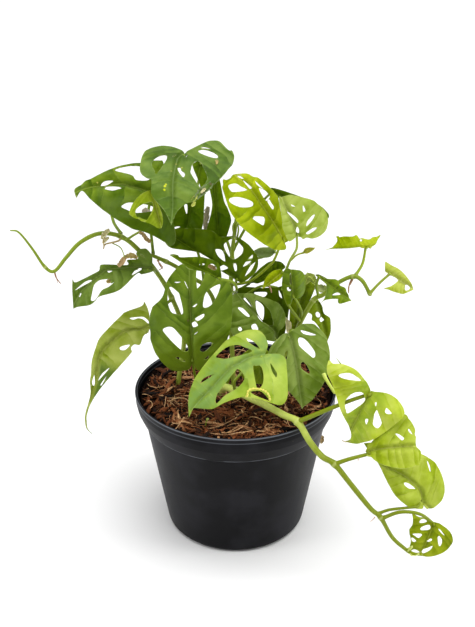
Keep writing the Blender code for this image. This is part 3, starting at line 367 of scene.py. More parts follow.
def leaf_back(name, tint, light, vein, gloss=0.55, glow=0.28, glow_tint=None):
    """The underside of a blade: paler and matt, with its veins standing out."""
    f = Finish(name)
    vein_place, off_midrib = f.map("veins")
    to_edge, along = f.map("edge")
    cloud = f.noise(24.0, 3.0)
    grain = f.noise(1.5, 3.0, 0.6)
    from_vein = abs((vein_place + 0.5).fraction() - 0.5)
    midrib = abs(off_midrib).fall(0.3, 1.4 - along)
    side_vein = from_vein.fall(0.01, 0.07) * to_edge.rise(0.0, 4.0)
    lines = midrib.most(side_vein * 0.7)
    share = 0.45 + (cloud - 0.5) * 1.3 + (grain - 0.5) * 0.3
    colour = f.mix(f.mix(tint, light, share.least(1.0).most(0.0)), vein, lines * 0.55)
    shader = f.principled(
        Base_Color=colour, Roughness=gloss + (grain - 0.5) * 0.12, Specular_IOR_Level=0.12,
        Normal=f.bump(lines + grain * 0.3, 0.3, 0.6),
    )
    return f.thin(shader, glow, glow_tint or light)


def stem_skin(name, foot, end, scar, reach, start=0.0):
    """A stem's skin with streaks and scars: one colour up to start, another a reach further on."""
    f = Finish(name)
    along, _ = f.map("veins")
    to_node, _ = f.map("edge")
    streak = f.noise(1.2, 3.0, 0.6, vector=f.stretched(1.0, 1.0, 0.22))
    cloud = f.noise(9.0, 2.0)
    ring = to_node.fall(0.3, 1.6)
    colour = f.mix(foot, end, ((along - start) / reach + (cloud - 0.5) * 0.5).least(1.0).most(0.0))
    colour = f.mix(colour, blend(foot, BLACK, 0.45), streak.rise(0.52, 0.7) * 0.3)
    colour = f.mix(colour, scar, ring * 0.45)
    height = streak * 0.5 + cloud * 0.3 - ring * 0.4
    return f.done(
        f.principled(
            Base_Color=colour, Roughness=0.45 + (cloud - 0.5) * 0.2, Specular_IOR_Level=0.25,
            Normal=f.bump(height, 0.2, 0.6),
        )
    )


def dry_tissue(name, tint, dark, glow=0.2):
    """Papery, dead plant tissue with long fibres."""
    f = Finish(name)
    fibre = f.noise(0.9, 4.0, 0.65, vector=f.stretched(1.0, 1.0, 0.18))
    cloud = f.noise(4.0, 3.0)
    colour = f.mix(dark, tint, (fibre.rise(0.35, 0.6) * 0.6 + cloud * 0.5).least(1.0))
    shader = f.principled(
        Base_Color=colour, Roughness=0.75, Specular_IOR_Level=0.3, Normal=f.bump(fibre, 0.25, 0.8)
    )
    return f.thin(shader, glow, tint)


def pot_skin(settings):
    """Charcoal nursery-pot plastic: satin, faintly streaked by the mould and dusty in places.

    The dusty patches double as a soft painted reflection, and thin painted highlights line the lip,
    the edge just under it and the band's ledge.
    """
    f = Finish("pot_plastic")
    body = tuple(settings.colour)
    cloud = f.noise(38.0, 3.0, 0.55)
    streak = f.noise(5.0, 3.0, 0.6, vector=f.stretched(1.0, 1.0, 0.07))
    pits = f.noise(0.8, 2.0, 0.5)
    height = f.node("SeparateXYZ", None, {0: f.millimetres()}, 2)
    # Dust and painted reflection: soft pale patches that roughen the plastic as dust does and
    # lighten it as a soft reflection would
    dust_and_sheen = cloud.rise(0.4, 0.7) * (streak * 0.5 + 0.5)
    top, ledge = settings.height / MM, (settings.height - settings.band_depth) / MM
    patchy = f.noise(14.0, 2.0).rise(0.3, 0.62)
    # Painted highlights: thin pale lines on the lip, just under it and along the band's ledge
    lip = height.rise(top - 1.5, top - 0.8) * height.fall(top - 0.5, top - 0.1)
    fold = height.rise(top - 5.2, top - 4.7) * height.fall(top - 4.4, top - 3.9)
    ledge_highlight = height.rise(ledge - 0.1, ledge + 0.3) * height.fall(ledge + 0.9, ledge + 1.4)
    splash = f.noise(2.4, 3.0, 0.6).rise(0.7, 0.78) * height.rise(85.0, 122.0)
    colour = f.mix(body, display(52, 52, 58), dust_and_sheen * 0.4)
    lit_edges = (lip.most(fold * 0.55) * 0.75).most(ledge_highlight * patchy * 0.6)
    colour = f.mix(colour, display(104, 108, 114), lit_edges)
    colour = f.mix(colour, display(84, 70, 58), splash * 0.45)
    scuff = f.noise(9.0, 4.0, 0.6).rise(0.6, 0.78)
    return f.done(
        f.principled(
            Base_Color=colour,
            Roughness=settings.roughness + dust_and_sheen * 0.12 + (streak - 0.5) * 0.1 + scuff * 0.06,
            Specular_IOR_Level=0.08,
            Normal=f.bump(pits * 0.5 + streak * 0.5, 0.12, 0.55),
        )
    )


def mix_bed_skin(settings):
    """The dark, damp crumb between the chips, deepened towards black as painted shade for the gaps.
    """
    f = Finish("coir_crumb")
    grain = f.noise(1.6, 5.0, 0.7)
    cloud = f.noise(9.0, 3.0)
    colour = f.mix(tuple(settings.shade), tuple(settings.tint), grain.rise(0.5, 0.8) * 0.22)
    return f.done(
        f.principled(
            Base_Color=colour, Roughness=0.9, Specular_IOR_Level=0.05,
            Normal=f.bump(grain * 0.8 + cloud * 0.3, 1.2, 0.9),
        )
    )


def chip_skin(settings):
    """Coir chips: each with its own brown, and fibres along it."""
    f = Finish("coir_chip")
    own, _ = f.map("veins")
    across, _ = f.map("edge")
    fibre = f.noise(0.55, 3.0, 0.6)
    cloud = f.noise(7.0, 2.0)
    shade, tint, pale = tuple(settings.shade), tuple(settings.tint), tuple(settings.fibre_tint)
    stops = [(0.0, shade), (0.25, blend(shade, tint, 0.3)), (0.6, tint),
             (0.82, blend(tint, pale, 0.3)), (1.0, pale)]
    brightness = own * 1.05 - 0.08 + (cloud - 0.5) * 0.4 + (fibre - 0.5) * 1.1
    strand = f.node("ValToRGB", {"stops": stops}, {0: brightness.most(0.0)})
    return f.done(
        f.principled(
            Base_Color=strand,
            Roughness=0.66 + (fibre - 0.5) * 0.2,
            Specular_IOR_Level=0.16,
            Normal=f.bump(fibre + abs((across * 3.0).fraction() - 0.5), 0.35, 0.8),
        )
    )


def floor_skin(settings):
    """The studio's pale floor, with faint broad clouds."""
    f = Finish("studio_floor")
    cloud = f.noise(400.0, 2.0)
    colour = f.mix(tuple(settings.floor_colour), (0.9, 0.9, 0.9), cloud * 0.3)
    return f.done(f.principled(Base_Color=colour, Roughness=0.7))


class Shape:
    """Points in millimetres, faces and surface marks gathered for one piece."""

    def __init__(self):
        self.points = []
        self.faces = []
        self.slots = []
        self.veins = []
        self.edge = []
        self.sharp = []
        self.count = 0

    def add(self, points, faces, slots=0, veins=None, edge=None, sharp=()):
        points = np.asarray(points, float)
        first = self.count
        self.points.append(points)
        self.faces += [tuple(int(i) + first for i in face) for face in faces]
        self.slots += [slots] * len(faces) if isinstance(slots, int) else list(slots)
        blank = np.zeros((len(points), 2))
        self.veins.append(blank if veins is None else np.asarray(veins, float))
        self.edge.append(blank if edge is None else np.asarray(edge, float))
        self.sharp += [(int(a) + first, int(b) + first) for a, b in sharp]
        self.count += len(points)

    def piece(self, name, materials, replaces=None, slot=None):
        """The finished object, riding on the plant's one body."""
        if not self.faces:
            raise RuntimeError(f"{name} has no faces")
        mesh = bpy.data.meshes.new(name)
        points = np.clip(np.concatenate(self.points) * MM, CAD_LOW, CAD_HIGH)
        mesh.from_pydata(points.tolist(), [], self.faces)
        for material in materials:
            mesh.materials.append(material)
        mesh.polygons.foreach_set("material_index", self.slots)
        mesh.polygons.foreach_set("use_smooth", [True] * len(self.faces))
        corners = np.empty(len(mesh.loops), np.int32)
        mesh.loops.foreach_get("vertex_index", corners)
        for label, marks in (("veins", self.veins), ("edge", self.edge)):
            layer = mesh.uv_layers.new(name=label)
            numbers = np.concatenate(marks)[corners].astype(np.float32)
            layer.uv.foreach_set("vector", numbers.ravel())
        if self.sharp:
            wanted = {tuple(sorted(pair)) for pair in self.sharp}
            for line in mesh.edges:
                if tuple(sorted(line.vertices)) in wanted:
                    line.use_edge_sharp = True
        mesh.update()
        made = bpy.data.objects.new(name, mesh)
        bpy.context.scene.collection.objects.link(made)
        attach(made, "root")
        if replaces:
            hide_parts(replaces)
        return made


def curve(points, steps, closed=False):
    """Points along a smooth curve through the given ones, the ends included."""
    points = np.asarray(points, float)
    count = len(points)
    spans = count if closed else count - 1
    t = (np.arange(steps) / steps)[:, None]
    out = []
    for i in range(spans):
        if closed:
            a, b, c, d = (points[(i + k) % count] for k in (-1, 0, 1, 2))
        else:
            b, c = points[i], points[i + 1]
            a = points[i - 1] if i else b * 2 - c
            d = points[i + 2] if i + 2 < count else c * 2 - b
        out.append(
            0.5 * (b * 2 + (c - a) * t + (a * 2 - b * 5 + c * 4 - d) * t**2
                   + (b * 3 - a - c * 3 + d) * t**3)
        )
    if not closed:
        out.append(points[-1:])
    return np.concatenate(out)


def unit(vector):
    """The same direction, one long."""
    vector = np.asarray(vector, float)
    return vector / np.maximum(np.linalg.norm(vector, axis=-1, keepdims=True), 1e-12)


def lengths(path):
    """How far along the path each of its points is."""
    return np.concatenate([[0.0], np.cumsum(np.linalg.norm(np.diff(path, axis=0), axis=1))])


def bands(rings, sides):
    """The faces between rings of points, one ring after the other, each sides points round."""
    return [
        (i * sides + k, i * sides + n, (i + 1) * sides + n, (i + 1) * sides + k)
        for i in range(rings - 1)
        for k, n in zip(range(sides), [*range(1, sides), 0])
    ]


def caps(rings, sides):
    """The faces that close the first and the last ring."""
    return [tuple(reversed(range(sides))), tuple(range((rings - 1) * sides, rings * sides))]


def add_tube(shape, path, radii, sides, slot=0, nodes=(), round_end=True):
    """A round stem along the path; its marks are the way along it and the distance from a node."""
    path = np.asarray(path, float)
    radii = np.asarray(radii, float)
    if round_end:
        ahead = unit(path[-1] - path[-2])
        tip, radius = path[-1], radii[-1]
        for turn in (35, 65, 85):
            path = np.vstack([path, tip + ahead * radius * math.sin(math.radians(turn))])
            radii = np.append(radii, radius * math.cos(math.radians(turn)))
    count = len(path)
    travelled = lengths(path)
    ahead = unit(np.gradient(path, axis=0))
    across = unit(Vector(ahead[0]).orthogonal())
    angles = 2 * np.pi * np.arange(sides) / sides
    points = []
    for i in range(count):
        across = unit(across - ahead[i] * across.dot(ahead[i]))
        third = np.cross(ahead[i], across)
        ring = np.outer(np.cos(angles), across) + np.outer(np.sin(angles), third)
        points.append(path[i] + ring * radii[i])
    marks = np.repeat(travelled, sides)
    around = np.tile(np.abs(angles / np.pi - 1), count)
    if len(nodes):
        gap = np.min(np.abs(travelled[:, None] - np.asarray(nodes)[None, :]), axis=1)
    else:
        gap = np.full(count, FAR_FROM_NODE)
    shape.add(np.concatenate(points), bands(count, sides) + caps(count, sides), slot,
              np.stack([marks, around], 1), np.stack([np.repeat(gap, sides), around], 1))


def add_flake(shape, path, width, curl, seed):
    """A thin, curled and ragged strip of tissue along the path."""
    path = curve(path, LINE_STEPS)
    count, wide = len(path), 7
    ahead = unit(np.gradient(path, axis=0))
    side = unit(np.cross(ahead, LIGHT))
    up = np.cross(side, ahead)
    share = np.linspace(0, 1, count)
    marks = np.linspace(-1, 1, wide)
    half = width / 2 * np.sin(np.pi * (0.1 + 0.8 * share)) ** 0.6
    ragged = np.array([[1 + 0.55 * noise.noise(Vector((k * 0.9, a * 2.0, seed))) for a in marks]
                       for k in range(count)])
    lift = np.array([[noise.noise(Vector((k * 0.5, a * 1.1, seed + 9.0))) for a in marks]
                     for k in range(count)])
    spread = half[:, None] * marks[None] * ragged
    rise = half[:, None] * curl * (marks[None] ** 2 - 0.4) + lift * width * 0.22
    middle = path[:, None] + side[:, None] * spread[..., None] + up[:, None] * rise[..., None]
    top = (middle + up[:, None] * FLAKE_THICKNESS / 2).reshape(-1, 3)
    under = (middle - up[:, None] * FLAKE_THICKNESS / 2).reshape(-1, 3)
    below = len(top)
    faces = []
    for i in range(count - 1):
        for k in range(wide - 1):
            a = i * wide + k
            faces.append((a, a + 1, a + wide + 1, a + wide))
            faces.append((a + below + wide, a + below + wide + 1, a + below + 1, a + below))
    ring = list(range(wide))
    ring += [i * wide + wide - 1 for i in range(1, count)]
    ring += [(count - 1) * wide + k for k in range(wide - 2, -1, -1)]
    ring += [i * wide for i in range(count - 2, 0, -1)]
    for a, b in zip(ring, ring[1:] + ring[:1]):
        faces.append((b, a, a + below, b + below))
    shape.add(np.concatenate([top, under]), faces)


def is_inside(points, loop):
    """Which of the points lie inside the closed loop."""
    x, y = points[:, 0:1], points[:, 1:2]
    a = loop
    b = np.roll(loop, -1, axis=0)
    crosses = (a[:, 1] > y) != (b[:, 1] > y)
    rise = np.where(np.abs(b[:, 1] - a[:, 1]) < 1e-12, 1e-12, b[:, 1] - a[:, 1])
    meets = x < (b[:, 0] - a[:, 0]) * (y - a[:, 1]) / rise + a[:, 0]
    return (crosses & meets).sum(1) % 2 == 1


def from_loop(points, loop):
    """Distance of each point from the closed loop."""
    a = loop
    along = np.roll(loop, -1, axis=0) - a
    size = np.maximum((along**2).sum(1), 1e-12)
    offset = points[:, None, :] - a[None]
    t = np.clip((offset * along).sum(2) / size, 0, 1)
    return np.sqrt(((offset - along * t[..., None]) ** 2).sum(2)).min(1)


def on_blade(places, loops, margin=None):
    """Which places are inside the first loop, in no other and, if asked, over a margin from all."""
    kept = is_inside(places, loops[0])
    for loop in loops[1:]:
        kept &= ~is_inside(places, loop)
    if margin is not None:
        for loop in loops:
            kept &= from_loop(places, loop) > margin
    return kept


def sight(x, y):
    """The direction from the eye through a point of the picture."""
    pitch = math.radians(CAMERA_PITCH)
    ahead = np.array([0.0, math.cos(pitch), -math.sin(pitch)])
    upward = np.array([0.0, math.sin(pitch), math.cos(pitch)])
    right = np.array([1.0, 0.0, 0.0])
    return (
        ahead
        + right * ((x - PICTURE_MIDDLE[0]) / FOCAL_LENGTH)
        + upward * ((PICTURE_MIDDLE[1] - y) / FOCAL_LENGTH)
    )


def shown_at(x, y, depth):
    """The place that shows at a point of the picture and stands at this depth."""
    ray = sight(x, y)
    return EYE + ray * ((depth - EYE[1]) / ray[1])


def seen(x, y, depth):
    """The same place to the millimetre."""
    return tuple(np.round(shown_at(x, y, depth)))


@dataclass
class Leaf:
    """One blade with its petiole.

    kind is the record's material slot. base and tip are where the petiole meets the blade and the
    end of its midrib. edge_a and edge_b are the two halves of the outline from base to tip and
    holes the natural openings between the veins, each a list of its corners. They are drawn as the
    blade is seen, in points of the picture. A hidden blade's are guessed, as shares of its length:
    along the midrib first, then across it. roll turns the blade about its midrib, in degrees, arch
    lifts its middle, fold its two halves, cup lowers its margins, wave ripples them and hook turns
    the tip down. stalk is the petiole's radius and petiole the points along it, from its foot.
    """

    name: str
    kind: str
    finish: str
    base: tuple
    tip: tuple
    edge_a: list
    edge_b: list
    holes: list = ()
    roll: float = 0.0
    arch: float = 0.06
    fold: float = 0.12
    cup: float = 0.10
    wave: float = 0.02
    hook: float = 0.0
    stalk: float = 1.25
    petiole: list = ()
    hidden: bool = False

    def __post_init__(self):
        self.base = np.array(self.base, float)
        self.tip = np.array(self.tip, float)
        self.length = float(np.linalg.norm(self.tip - self.base))
        self.along = (self.tip - self.base) / self.length
        facing = unit(LIGHT - self.along * LIGHT.dot(self.along))
        across = np.cross(facing, self.along)
        turn = math.radians(self.roll)
        self.facing = facing * math.cos(turn) + across * math.sin(turn)
        self.across = across * math.cos(turn) - facing * math.sin(turn)
        if not self.hidden:
            self.edge_a, self.edge_b = self.shares(self.edge_a), self.shares(self.edge_b)
            self.holes = [self.shares(hole) for hole in self.holes]
        self.seed = sum(ord(letter) * (k + 1) for k, letter in enumerate(self.name)) % 977
        drawn, aside = RIBS.get(self.name, ((), 0.0))
        end = [] if aside is None else [(1.0, aside)]
        self.rib = curve([(0.0, 0.0), *self.shares(drawn), *end], LINE_STEPS)
        self.slope = self.vein_slope()
        self.places = {side: self.vein_places(side) for side in (-1, 1)}

    def shares(self, drawn, digits=2):
        """Points of the picture as shares of the length, where their sight lines meet the blade."""
        shares = []
        for x, y in drawn:
            ray = sight(x, y)
            lift = 0.0
            for _ in range(SIGHT_STEPS):
                level = self.base + self.facing * (lift * self.length)
                reach = (level - EYE).dot(self.facing) / ray.dot(self.facing)
                at = EYE + ray * reach - self.base
                s = at.dot(self.along) / self.length
                r = at.dot(self.across) / self.length
                lift = (lift + float(self.height(s, r))) / 2
            shares.append((round(s, digits), round(r, digits)))
        return shares

    def vein_slope(self):
        """How far the side veins lean towards the tip, read from the lie of the holes."""
        leans = []
        for hole in self.holes:
            loop = np.array(hole)
            near, far = loop[np.abs(loop[:, 1]).argmin()], loop[np.abs(loop[:, 1]).argmax()]
            s1, r1, s2, r2 = *near, *far
            if abs(abs(r2) - abs(r1)) > 0.07:
                leans.append((s2 - s1) / (abs(r2) - abs(r1)))
        lean = sum(leans) / len(leans) if leans else 0.5
        return min(1.1, max(0.15, lean))

    def beside(self, s, r):
        """How far a place is from the midrib, across the blade."""
        return np.asarray(r) - np.interp(s, self.rib[:, 0], self.rib[:, 1])

    def vein_line(self, s, r):
        """A number that is the same all along one side vein: where it leaves the midrib."""
        away = self.beside(s, r)
        return s - self.slope * np.abs(away) - 0.5 * away**2

    def vein_places(self, side):
        """Where the side veins of one half leave the midrib, steered clear of the holes."""
        spans = []
        for hole in self.holes:
            loop = curve(hole, FINE_STEPS, closed=True)
            if self.beside(*loop.mean(0)) * side <= 0:
                continue
            level = self.vein_line(loop[:, 0], loop[:, 1])
            spans.append((level.min(), level.max()))
        places = []
        for k in range(-8, 11):
            place = 0.03 + k * 0.15 + 0.045 * math.sin(k * 2.3 + self.seed)
            for low, high in spans:
                if low < place < high:
                    place = low - 0.01 if place - low < high - place else high + 0.01
            if not places or place - places[-1] > 0.045:
                places.append(place)
        return places

    def outline(self):
        """The blade's edge as one closed loop, with a faint ripple that dies out at both ends."""
        start, end = (0.0, 0.0), (1.0, 0.0)
        one, two = (
            curve([start, *edge, end], FINE_STEPS if len(edge) > FINE_EDGE else EDGE_STEPS)
            for edge in (self.edge_a, self.edge_b)
        )
        loop = np.concatenate([one[:-1], two[::-1][:-1]])
        away = np.array([noise.noise(Vector((s * 9, r * 9, self.seed))) for s, r in loop])
        outward = unit(loop - np.array([0.5, 0.0]))
        hold = np.minimum(1.0, from_loop(loop, np.array([start, end, end])) * 6)
        return loop + outward * (away * hold * MARGIN_RIPPLE)[:, None]

    def height(self, s, r):
        """How far the plain blade stands off the plane through its base and tip."""
        lift = self.arch * 4 * s * (1 - s)
        lift = lift + self.fold * (np.hypot(r, 0.04) - 0.04)
        lift = lift - self.cup * r * r * 2
        phase = np.where(r > 0, 0.0, 2.0)
        lift = lift + self.wave * np.sin(s * 11.0 + phase) * np.minimum(1.0, (np.abs(r) * 3) ** 2)
        return lift - self.hook * np.maximum(0.0, s - 0.75) ** 2 * 16

    def place(self, s, r, raised=0.0):
        """Where the shares s along and r across are, in millimetres."""
        s = np.atleast_1d(np.asarray(s, float))
        r = np.atleast_1d(np.asarray(r, float))
        lift = (self.height(s, r) + raised)[:, None]
        flat = s[:, None] * self.along + r[:, None] * self.across
        return self.base + (flat + lift * self.facing) * self.length

    def line_above(self, drawn, above):
        """Points of the picture, where they meet the blade, so many millimetres above it."""
        s, r = np.array(self.shares(drawn, 3)).T
        return self.place(s, r, above / self.length)

    def normal(self, s, r):
        """Which way the plain blade faces at each place."""
        s = np.atleast_1d(np.asarray(s, float))
        r = np.atleast_1d(np.asarray(r, float))
        step = 0.004
        slope_s = (self.height(s + step, r) - self.height(s - step, r)) / (2 * step)
        slope_r = (self.height(s, r + step) - self.height(s, r - step)) / (2 * step)
        return unit(self.facing - slope_s[:, None] * self.along - slope_r[:, None] * self.across)

    def sheet(self, spacing):
        """The flat blade as points and triangles in shares of its length, with its loops."""
        gap = spacing / self.length
        outline = self.outline()
        loops = [outline] + [curve(hole, FINE_STEPS, closed=True) for hole in self.holes]
        rows = []
        low, high = outline.min(0), outline.max(0)
        for row, s in enumerate(np.arange(low[0] + gap / 2, high[0], gap * 0.87)):
            r = np.arange(low[1] + gap * (0.5 if row % 2 else 1.0), high[1], gap)
            rows.append(np.stack([np.full(len(r), s), r], 1))
        seeds = np.concatenate(rows)
        off_rib = np.abs(self.beside(*seeds.T)) > gap * 0.55
        seeds = seeds[on_blade(seeds, loops, gap * 0.45) & off_rib]
        rib_s = np.arange(0.02, 0.985 * self.rib[-1, 0], gap)
        rib = np.stack([rib_s, np.interp(rib_s, self.rib[:, 0], self.rib[:, 1])], 1)
        rib = rib[on_blade(rib, loops, gap * 0.3)]
        points = [Vector(p) for loop in loops for p in loop.tolist()]
        edges = []
        first = 0
        for loop in loops:
            edges += [(first + k, first + (k + 1) % len(loop)) for k in range(len(loop))]
            first += len(loop)
        edges += [(first + k, first + k + 1) for k in range(len(rib) - 1)
                  if rib[k + 1][0] - rib[k][0] < gap * 1.1]
        points += [Vector(p) for p in (*rib.tolist(), *seeds.tolist())]
        corners, _, faces, _, _, _ = delaunay_2d_cdt(points, edges, [], 0, 1e-6)
        corners = np.array([tuple(p) for p in corners])
        faces = np.array(faces)
        return corners, faces[on_blade(corners[faces].mean(1), loops)], loops

    def marks(self, s, r, loops):
        """Vein number, millimetres from the midrib and millimetres from the nearest edge."""
        level = self.vein_line(s, r)
        away = self.beside(s, r)
        vein = np.where(
            away >= 0,
            np.interp(level, self.places[1], np.arange(len(self.places[1]))),
            np.interp(level, self.places[-1], np.arange(len(self.places[-1]))) + 40.0,
        )
        to_edge = np.min([from_loop(np.stack([s, r], 1), loop) for loop in loops], axis=0)
        return vein, away * self.length, to_edge * self.length

    def swelling(self, s, r, marks, settings):
        """How far the blade stands off its plain form: up between veins, down along the midrib."""
        vein, off, to_edge = marks
        puff = settings.puff / MM
        between = (0.5 - 0.5 * np.cos(2 * np.pi * vein)) ** 0.75
        calm = np.minimum(1.0, np.abs(off) / 5.0) * np.minimum(1.0, to_edge / 5.0)
        uneven = np.array([0.6 + 1.3 * noise.noise(Vector((a * 4, b * 4, self.seed)))
                           for a, b in zip(s, r)])
        groove = puff * 1.5 * np.exp(-((off / 1.2) ** 2)) * np.minimum(1.0, (1 - s) * 4)
        drift = np.array([noise.fractal(Vector(p) * 0.05, 0.9, 2.1, 2) for p in self.place(s, r)])
        drift = drift * 1.3 * calm
        scale = min(1.4, self.length / 55.0)
        return (puff * between * calm * uneven - groove + drift * scale) / self.length

    def add_blade(self, shape, settings):
        """The blade as a closed sheet: top and border in the first slot, its back in the second."""
        thickness = settings.thickness / MM
        flat, faces, loops = self.sheet(settings.spacing / MM)
        used = np.unique(faces)
        index = np.zeros(len(flat), int)
        index[used] = np.arange(len(used))
        faces = index[faces]
        flat = flat[used]
        s, r = flat[:, 0], flat[:, 1]
        marks = self.marks(s, r, loops)
        vein, off, to_edge = marks
        middle = self.place(s, r, self.swelling(s, r, marks, settings))
        normal = self.normal(s, r)
        upper = middle + normal * thickness / 2
        lower = middle - normal * thickness / 2
        a, b, c = (flat[faces[0][k]] for k in range(3))
        turned = np.cross(b - a, c - a) < 0
        if (np.cross(self.along, self.across).dot(self.facing) < 0) != turned:
            faces = faces[:, ::-1]
        count = len(flat)
        ends = np.concatenate([faces[:, [0, 1]], faces[:, [1, 2]], faces[:, [2, 0]]])
        there = {(int(i), int(j)) for i, j in ends}
        border = sorted((i, j) for i, j in there if (j, i) not in there)
        solid = faces.tolist() + (faces[:, ::-1] + count).tolist()
        solid += [(j, i, i + count, j + count) for i, j in border]
        slots = [0] * len(faces) + [1] * len(faces) + [0] * len(border)
        veins = np.stack([vein, off], 1)
        edge = np.stack([to_edge, s], 1)
        sharp = border + [(i + count, j + count) for i, j in border]
        shape.add(np.concatenate([upper, lower]), solid, slots,
                  np.concatenate([veins, veins]), np.concatenate([edge, edge]), sharp)
        self.loops = loops

    def add_midrib(self, shape, settings):
        """The rib under the blade, from its base to near the tip, left out over the holes."""
        s = np.linspace(0.04, 0.92 * self.rib[-1, 0], 34)
        r = np.interp(s, self.rib[:, 0], self.rib[:, 1])
        marks = self.marks(s, r, self.loops)
        drop = -settings.thickness / MM / 2 / self.length
        path = self.place(s, r, self.swelling(s, r, marks, settings) + drop)
        radii = 0.2 + (self.stalk * 0.62 - 0.2) * (1 - s) ** 1.2
        there = on_blade(np.stack([s, r], 1), self.loops, 0.6 / self.length)
        first = 0
        for k in range(len(s) + 1):
            if k == len(s) or not there[k]:
                if k - first > 3:
                    add_tube(shape, path[first:k], radii[first:k], THIN_SIDES, 2)
                first = k + 1

    def add_petiole(self, shape):
        """The stalk from its host to the blade, a little swollen at both ends."""
        entry = self.place(0.05, 0.0)[0]
        under = entry - self.facing * 0.2
        path = curve([*self.petiole, under - self.facing * 2.2, under], PATH_STEPS)
        travelled = lengths(path)
        share = travelled / travelled[-1]
        swell = 1.0 + 0.35 * np.exp(-((travelled / 2.2) ** 2))
        swell += 0.18 * np.exp(-(((travelled[-1] - travelled - 2.5) / 2.0) ** 2))
        radii = self.stalk * (1.0 - 0.25 * share) * swell
        add_tube(shape, path, radii, PETIOLE_SIDES, 2, nodes=(0.0,))


# Midribs that leave the straight line from base to tip: points of the picture along them, then how
# far they end to the side at the tip, as a share of the blade's length, where they reach it
RIBS = {
    "leaf_crown": ([(180, 155), (177, 160), (173.5, 178), (172.8, 190), (172.6, 205)], 0.0),
    "leaf_left_upper": ([(150, 190.5), (140, 188), (130, 185), (120, 183)], -0.06),
    "leaf_lime_upper": ([(283, 236), (277, 226), (264, 207), (252, 190), (246, 183), (240, 179.5)],
                        None),
    "leaf_left_middle": ([(140, 266.5), (128, 267), (108, 269), (98, 275), (82, 290)], -0.02),
    "leaf_left_drooping": ([(140, 329), (130, 329.5), (120, 334), (110, 342), (102, 351), (98, 360),
                            (95.5, 378), (91, 395), (85.5, 415)], -0.05),
    "leaf_centre_grey": ([(275, 331), (262, 320), (250, 308)], 0.0),
    "leaf_front_lime": ([(250, 357), (240, 362), (230, 368), (213, 386), (196, 405)], 0.0),
    "leaf_front_right": ([(291, 340), (296, 362)], 0.0),
    "leaf_trailing_3": ([(421, 491), (416, 485.5), (406, 477), (395, 471), (384, 465)], 0.05),
    "leaf_trailing_2": ([(372, 450), (390, 447.5), (414, 446)], None),
}

